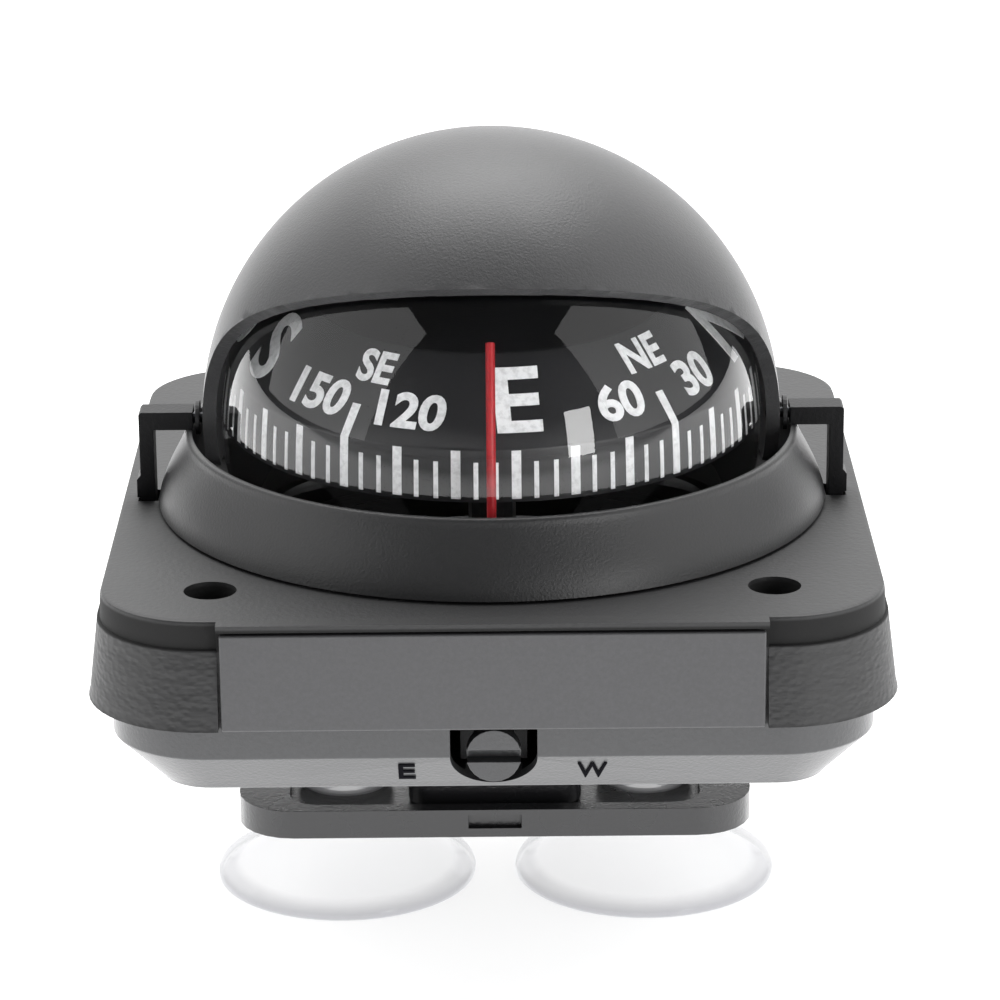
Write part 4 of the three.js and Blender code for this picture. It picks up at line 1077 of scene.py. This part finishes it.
@dataclass
class Globe:
    """Clear globe with its liquid, the bowl below and what stands in them."""

    levels: Levels
    steps: int = 72
    flange: float = 28.5
    flange_top: float = -11.0
    flange_bottom: float = -12.6
    bowl_inner: float = 23.9
    bowl_floor: float = -16.75
    lubber_radius: float = 0.45
    lubber_path: float = 25.3
    lubber_span: tuple[float, float] = (-12.5, 13.7)
    lubber_steps: int = 24

    def build(self, shop: Workshop) -> None:
        """Make the globe and the lubber line, and dress the bowl."""
        lowest = math.degrees(math.asin(self.flange_top / GLOBE_RADIUS))
        profile = [(0.0, GLOBE_RADIUS)]
        for i in range(1, self.steps + 1):
            angle = math.radians(90 + (lowest - 90) * i / self.steps)
            profile.append((GLOBE_RADIUS * math.cos(angle), GLOBE_RADIUS * math.sin(angle)))
        profile += [
            (self.flange, self.flange_top), (self.flange, self.flange_bottom),
            (self.bowl_inner, self.flange_bottom), (self.bowl_inner, self.bowl_floor),
            (0.0, self.bowl_floor),
        ]
        globe = lathed("globe_and_liquid", profile, self.levels.eye, 180)
        smooth(globe, 40.0)
        shop.hand_over(globe, Body.BASE, "globe", ["globe"])
        self.build_lubber(shop)
        shop.dress("rubber", "globe_seal", "diaphragm")
        shop.dress("inside", "bowl", "pivot_post")
        shop.dress("brass", "diaphragm_ring", "filler_plug")
        shop.dress("steel", "pivot_pin")
        shop.dress("dark_steel", *numbered("bowl_screw", 4))

    def build_lubber(self, shop: Workshop) -> None:
        """Bend the red lubber line up the inside of the globe."""
        reach = self.lubber_path
        low, high = (math.asin(z / reach) for z in self.lubber_span)
        foot = -reach * math.cos(low)
        points = [Vector((0, foot, self.bowl_floor + 0.4)), Vector((0, foot, self.lubber_span[0] - 1.0))]
        for i in range(self.lubber_steps + 1):
            angle = low + (high - low) * i / self.lubber_steps
            points.append(Vector((0, -reach * math.cos(angle), reach * math.sin(angle))))
        curve = bpy.data.curves.new("lubber_path", "CURVE")
        curve.dimensions = "3D"
        curve.bevel_depth = self.lubber_radius
        curve.bevel_resolution = 4
        curve.use_fill_caps = True
        spline = curve.splines.new("POLY")
        spline.points.add(len(points) - 1)
        for target, point in zip(spline.points, points):
            target.co = (*(point + self.levels.eye), 1.0)
        activate(in_scene("lubber_wire", curve))
        bpy.ops.object.convert(target="MESH")
        wire = bpy.context.active_object
        in_edit_mode(wire, weld_and_face_out)
        smooth(wire, 50.0)
        shop.hand_over(wire, Body.BASE, "lubber", ["lubber_line"])


@dataclass(frozen=True)
class Lettering:
    """Height, place up the cone, stroke weight and width of one kind of lettering."""

    height: float
    middle: float
    weight: float
    width: float


@dataclass
class Card:
    """Domed card with its degree marks and figures."""

    levels: Levels
    radius: float = 21.3
    top_radius: float = 15.0
    skirt_low: float = -1.8
    skirt_high: float = 3.2
    top: float = 10.3
    wall: float = 0.8
    edge: float = 0.15
    heading: float = 96.2
    ink: float = 0.06
    figure_depth: float = 0.1
    lag: float = 1.5
    broad_half: float = 0.44
    fine_half: float = 0.22
    broad_top: float = -0.1
    fine_top: float = -1.2
    long_top: float = 3.4
    quarter: Lettering = Lettering(6.2, 4.9, 0.2, 1.08)
    half_quarter: Lettering = Lettering(2.9, 7.2, 0.13, 0.9)
    figures: Lettering = Lettering(3.3, 3.5, 0.15, 1.05)

    def build(self, shop: Workshop) -> None:
        """Make the card, print it and dress what it carries."""
        inner = self.radius - self.wall
        profile = [
            (0.0, self.top), (self.top_radius - 2 * self.edge, self.top),
            (self.top_radius, self.top - self.edge),
            (self.radius - 0.1, self.skirt_high + self.edge), (self.radius, self.skirt_high - self.edge),
            (self.radius, self.skirt_low), (inner, self.skirt_low),
            (inner, self.skirt_high - self.wall / 2),
            (self.top_radius - self.wall / 2, self.top - self.wall), (0.0, self.top - self.wall),
        ]
        disc = lathed("card_dome", profile, self.levels.eye, 180)
        smooth(disc, 25.0)
        shop.hand_over(disc, Body.CARD, "card", ["card"])
        self.build_ticks(shop)
        self.build_figures(shop)
        shop.dress("nylon", "card_hub")
        shop.dress("jewel", "jewel_cup")
        shop.dress("dark_steel", *(f"card_magnet_{side}" for side in SIDES))

    def place(self, bearing: float, across: float, up: float, out: float) -> Vector:
        """Point on the card's outer face.

        Args:
            bearing: Degrees on the card.
            across: Distance to the right of the bearing.
            up: Height above the skirt's top edge along the face, negative on the skirt.
            out: Distance out of the face.

        Returns:
            The point, in the model's frame.
        """
        if up <= 0:
            base = self.radius
            radius, height = base + out, self.skirt_high + up
        else:
            run, rise = self.radius - self.top_radius, self.top - self.skirt_high
            slant = math.hypot(run, rise)
            base = self.radius - up * run / slant
            radius = base + out * rise / slant
            height = self.skirt_high + up * rise / slant + out * run / slant
        angle = math.radians(self.heading - bearing) + across / base
        return self.levels.eye + Vector((radius * math.sin(angle), -radius * math.cos(angle), height))

    def build_ticks(self, shop: Workshop) -> None:
        """Print the marks: broad every 15 degrees, fine every 5, and long at the half quarters."""
        points: list[Point] = []
        faces: list[tuple[int, ...]] = []
        for bearing in range(0, 360, 5):
            broad = bearing % 15 == 0
            half = self.broad_half if broad else self.fine_half
            tops = [self.broad_top if broad else self.fine_top]
            if bearing % 90 == 45:
                tops = [0.0, self.long_top]
            heights = [self.skirt_low + 0.3 - self.skirt_high, *tops]
            base = len(points)
            for up in heights:
                for across in (-half, 0.0, half):
                    for out in (0.0, self.ink):
                        points.append(tuple(self.place(bearing, across, up, out)))
            for level in range(len(heights)):
                below_top = level + 1 < len(heights)
                for column in range(3):
                    near = base + level * 6 + column * 2
                    if column < 2 and below_top:
                        faces.append((near + 1, near + 3, near + 9, near + 7))
                        faces.append((near, near + 6, near + 8, near + 2))
                    if column != 1 and below_top:
                        faces.append((near, near + 1, near + 7, near + 6))
                    if column < 2 and (level == 0 or not below_top):
                        faces.append((near, near + 2, near + 3, near + 1))
        ticks = new_mesh("card_ticks", points, [], faces)
        in_edit_mode(ticks, weld_and_face_out)
        shop.hand_over(ticks, Body.CARD, "ink")

    def build_figures(self, shop: Workshop) -> None:
        """Print the figures and the points of the compass round the cone."""
        names = {0: "N", 45: "NE", 90: "E", 135: "SE", 180: "S", 225: "SW", 270: "W", 315: "NW"}
        for bearing in range(0, 360, 15):
            if bearing in names:
                kind = self.half_quarter if bearing % 90 else self.quarter
            elif bearing % 30 == 0:
                kind = self.figures
            else:
                continue
            words = names.get(bearing, str(bearing))
            sizes = (kind.height, self.figure_depth, kind.weight, kind.width)
            figure = flat_text(f"figure_{words}", words, *sizes)
            self.slice_across(figure)
            for vertex in figure.data.vertices:
                across, up, out = vertex.co
                up = max(up + kind.middle, 0.02)
                vertex.co = self.place(bearing - self.lag, across, up, out + self.ink / 2)
            shop.hand_over(figure, Body.CARD, "ink")

    def slice_across(self, figure: Piece, pitch: float = 0.6) -> None:
        """Cut lettering into narrow strips so that it can follow the cone."""
        work = bmesh.new()
        work.from_mesh(figure.data)
        count = int(max(abs(vertex.co.x) for vertex in work.verts) / pitch)
        for i in range(-count, count + 1):
            parts = work.verts[:] + work.edges[:] + work.faces[:]
            bmesh.ops.bisect_plane(work, geom=parts, plane_co=(i * pitch, 0, 0), plane_no=(1, 0, 0))
        work.to_mesh(figure.data)
        work.free()


@dataclass
class Stand:
    """Pedestal, plate, suction cups and the compensators in the tray."""

    levels: Levels
    cup_radius: float = 14.0
    cup_neck: float = 3.2
    cup_head: float = 5.2
    cup_head_height: float = 2.4
    cup_shoulder: float = 6.2
    cup_shoulder_round: float = 0.3
    cup_crown: float = 1.75
    cup_rim: float = 0.9
    cup_sag: float = 0.92
    cup_steps: int = 12
    slot_depth: float = 1.5
    slot_half: float = 0.6

    def build(self, shop: Workshop) -> None:
        """Make the plate, cups and compensator screws."""
        for node, body, finish, slot, width in (
            ("cup_plate", Body.BASE, "stand", "deep_black", 0.2),
            ("pedestal", Body.BASE, "stand", "deep_black", 0.2),
            ("front_compensator_screw", Body.FRONT_COMPENSATOR, "tray", "tray_grey", 0.12),
            ("side_compensator_screw", Body.SIDE_COMPENSATOR, "tray", "tray_grey", 0.12),
        ):
            piece = copied_node(f"{node}_body", shop.frame["nodes"][node])
            if body is not Body.BASE:
                combine(piece, [self.slot_cutter(node)], "DIFFERENCE")
            soften(piece, width, 2, 40.0)
            smooth(piece, 32.0)
            shop.hand_over(piece, body, finish, [node])
        for side in SIDES:
            self.build_cup(shop, side)
        shop.dress("dark_steel", "front_compensator_magnet", "side_compensator_magnet")
        shop.dress("inside", "front_compensator_bearing", "side_compensator_bearing")
        shop.dress("dark_steel", *numbered("plate_screw", 2), *numbered("tray_screw", 2))

    def slot_cutter(self, node: str) -> Piece:
        """Cutter that deepens a compensator's screwdriver slot."""
        low, high = span(node)
        middle = (low.z + high.z) / 2
        near = [low.x - OVERCUT, low.y - OVERCUT, middle - self.slot_half]
        far = [high.x + OVERCUT, high.y + OVERCUT, middle + self.slot_half]
        if node.startswith("front"):
            far[1] = low.y + self.slot_depth
        else:
            near[0] = high.x - self.slot_depth
        return box_piece("slot", near, far)

    def build_cup(self, shop: Workshop, side: str) -> None:
        """Spin one clear suction cup."""
        node = f"suction_cup_{side}"
        top = span(node)[1].z
        middle = centre_of(node)
        head, neck, reach, waist = self.cup_head, self.cup_neck, self.cup_radius, self.cup_shoulder
        shoulder = span("cup_plate")[0].z - SEAT_GAP
        head_low = top - self.cup_head_height
        crown = shoulder - self.cup_crown
        turned_in = shoulder - self.cup_shoulder_round
        profile = [
            (0.0, top), (head - 1.2, top), (head - 0.35, top - 0.25), (head, top - 0.9),
            (head, head_low + 0.5), (head - 0.4, head_low), (neck + 0.2, head_low),
            (neck, head_low - 0.2), (neck, shoulder), (waist - 0.8, shoulder), (waist, turned_in),
        ]
        parts = [i / self.cup_steps for i in range(1, self.cup_steps + 1)]
        for t in parts:
            radius = waist + (reach - 0.6 - waist) * t
            profile.append((radius, turned_in - (turned_in - 1.5) * t**self.cup_sag))
        profile += [
            (reach - 0.1, self.cup_rim), (reach, self.cup_rim * 0.6), (reach, 0.12),
            (reach - 0.12, 0.0), (reach - 0.5, 0.0),
        ]
        for t in reversed(parts[:-1]):
            radius = waist - 0.6 + (reach - 1.2 - waist + 0.6) * t
            profile.append((radius, crown - 0.7 - (crown - 1.1) * t**self.cup_sag))
        profile += [(waist - 0.6, crown - 0.6), (0.0, crown)]
        cup = lathed(f"{node}_clear", profile, (middle.x, middle.y, 0.0), 144)
        smooth(cup, 50.0)
        shop.hand_over(cup, Body.BASE, "vinyl", [node])


@dataclass(frozen=True)
class Softbox:
    """Rectangular lamp aimed at the compass, with places and sizes in metres."""

    name: str
    place: Point
    size: tuple[float, float]
    radiance: float
    target: Point = (0.0, 0.0, 0.04)

    def hang(self) -> None:
        """Put the lamp into the scene."""
        data = bpy.data.lights.new(self.name, "AREA")
        data.shape = "RECTANGLE"
        data.size, data.size_y = self.size
        data.energy = self.radiance * math.pi * self.size[0] * self.size[1]
        lamp = in_scene(self.name, data)
        lamp.location = self.place
        aim = Vector(self.target) - Vector(self.place)
        lamp.rotation_euler = aim.to_track_quat("-Z", "Y").to_euler()


LAMPS = (
    Softbox("left_panel", (-1.1, -0.17, 0.65), (1.5, 1.3), 1.7),
    Softbox("right_panel", (1.1, -0.17, 0.65), (1.5, 1.3), 1.8),
    Softbox("back_panel", (0.0, 1.4, 0.75), (3.2, 1.5), 2.4),
    Softbox("top_panel", (0.0, 0.36, 0.9), (0.8, 0.5), 9.0),
    Softbox("window", (0.6, -0.8, 0.17), (0.2, 0.32), 16.0),
)


@dataclass
class Studio:
    """Camera, floor and lamps."""

    focal: float = 149.94
    distance: float = 440.0
    pitch: float = 18.43
    roll: float = -0.52
    aim: Point = (0.83, 0.0, 42.1)
    floor_half: float = 3.0
    floor_glow: float = 2.1
    floor_seen: float = 0.74
    floor_dark: float = -0.5
    floor_light: float = -0.2
    sky: float = 0.12
    sky_seen: float = 1.1

    def build(self) -> None:
        """Set the camera, the floor, the lamps and the sky."""
        self.build_camera()
        self.build_floor()
        for lamp in LAMPS:
            lamp.hang()
        self.build_sky()

    def build_camera(self) -> None:
        """Place the camera in front, looking down at the card."""
        pitch, roll = math.radians(self.pitch), math.radians(self.roll)
        forward = Vector((0, math.cos(pitch), -math.sin(pitch)))
        right, up = Vector((1, 0, 0)), Vector((0, math.sin(pitch), math.cos(pitch)))
        turned_right = right * math.cos(roll) + up * math.sin(roll)
        turned_up = up * math.cos(roll) - right * math.sin(roll)
        data = bpy.data.cameras.new("camera")
        data.lens = self.focal
        data.sensor_width = 36.0
        data.clip_start, data.clip_end = 0.01, 50.0
        camera = in_scene("camera", data)
        facing = Matrix((turned_right, turned_up, -forward)).transposed().to_4x4()
        place = (Vector(self.aim) - forward * self.distance) * MM
        camera.matrix_world = Matrix.Translation(place) @ facing
        bpy.context.scene.camera = camera

    def build_floor(self) -> None:
        """Lay a pale floor that throws no light up from the camera's side."""
        deselect()
        bpy.ops.mesh.primitive_plane_add(size=2 * self.floor_half, location=(0, 0, 0))
        floor = just_made("floor")
        shader = Shader("floor_paper")
        seen = shader.node("ShaderNodeLightPath", {}, {}, "Is Camera Ray")
        lit = shader.axis("Y").ramp(self.floor_dark, self.floor_light)
        floor.data.materials.append(shader.finish(shader.principled({
            "Base Color": (0.5, 0.5, 0.503, 1.0), "Roughness": 0.9,
            "Emission Color": (1.0, 1.0, 1.0, 1.0),
            "Emission Strength": seen * self.floor_seen + (1.0 - seen) * lit * self.floor_glow,
        })))

    def build_sky(self) -> None:
        """Set a dim sky that the camera sees as a white backdrop."""
        world = bpy.data.worlds.new("sky")
        bpy.context.scene.world = world
        world.use_nodes = True
        tree = world.node_tree
        backdrop = tree.nodes["Background"]
        backdrop.inputs["Color"].default_value = (0.97, 0.98, 1.0, 1.0)
        seen = tree.nodes.new("ShaderNodeLightPath")
        strength = tree.nodes.new("ShaderNodeMapRange")
        strength.inputs["To Min"].default_value = self.sky
        strength.inputs["To Max"].default_value = self.sky_seen
        tree.links.new(seen.outputs["Is Camera Ray"], strength.inputs["Value"])
        tree.links.new(strength.outputs["Result"], backdrop.inputs["Strength"])
        bpy.context.scene.view_settings.view_transform = "Standard"


def main() -> None:
    """Build the model's look and set the studio round it."""
    logging.basicConfig(level=logging.INFO, format="%(name)s: %(message)s")
    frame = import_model()
    levels = Levels.read()
    # the band between these two heights under the housing's top edge is painted dark as shade
    FINISHES["housing"] = WrinkledPlastic(
        "housing_plastic", (0.008, 0.008, 0.0085),
        (levels.top - Housing.band) * MM, (levels.top - Housing.band_fade) * MM,
    )
    Studio().build()
    shop = Workshop(frame)
    for assembly in (Housing, Collar, Hood, Globe, Card, Stand):
        assembly(levels).build(shop)
    deselect()


if __name__ == "__main__":
    main()
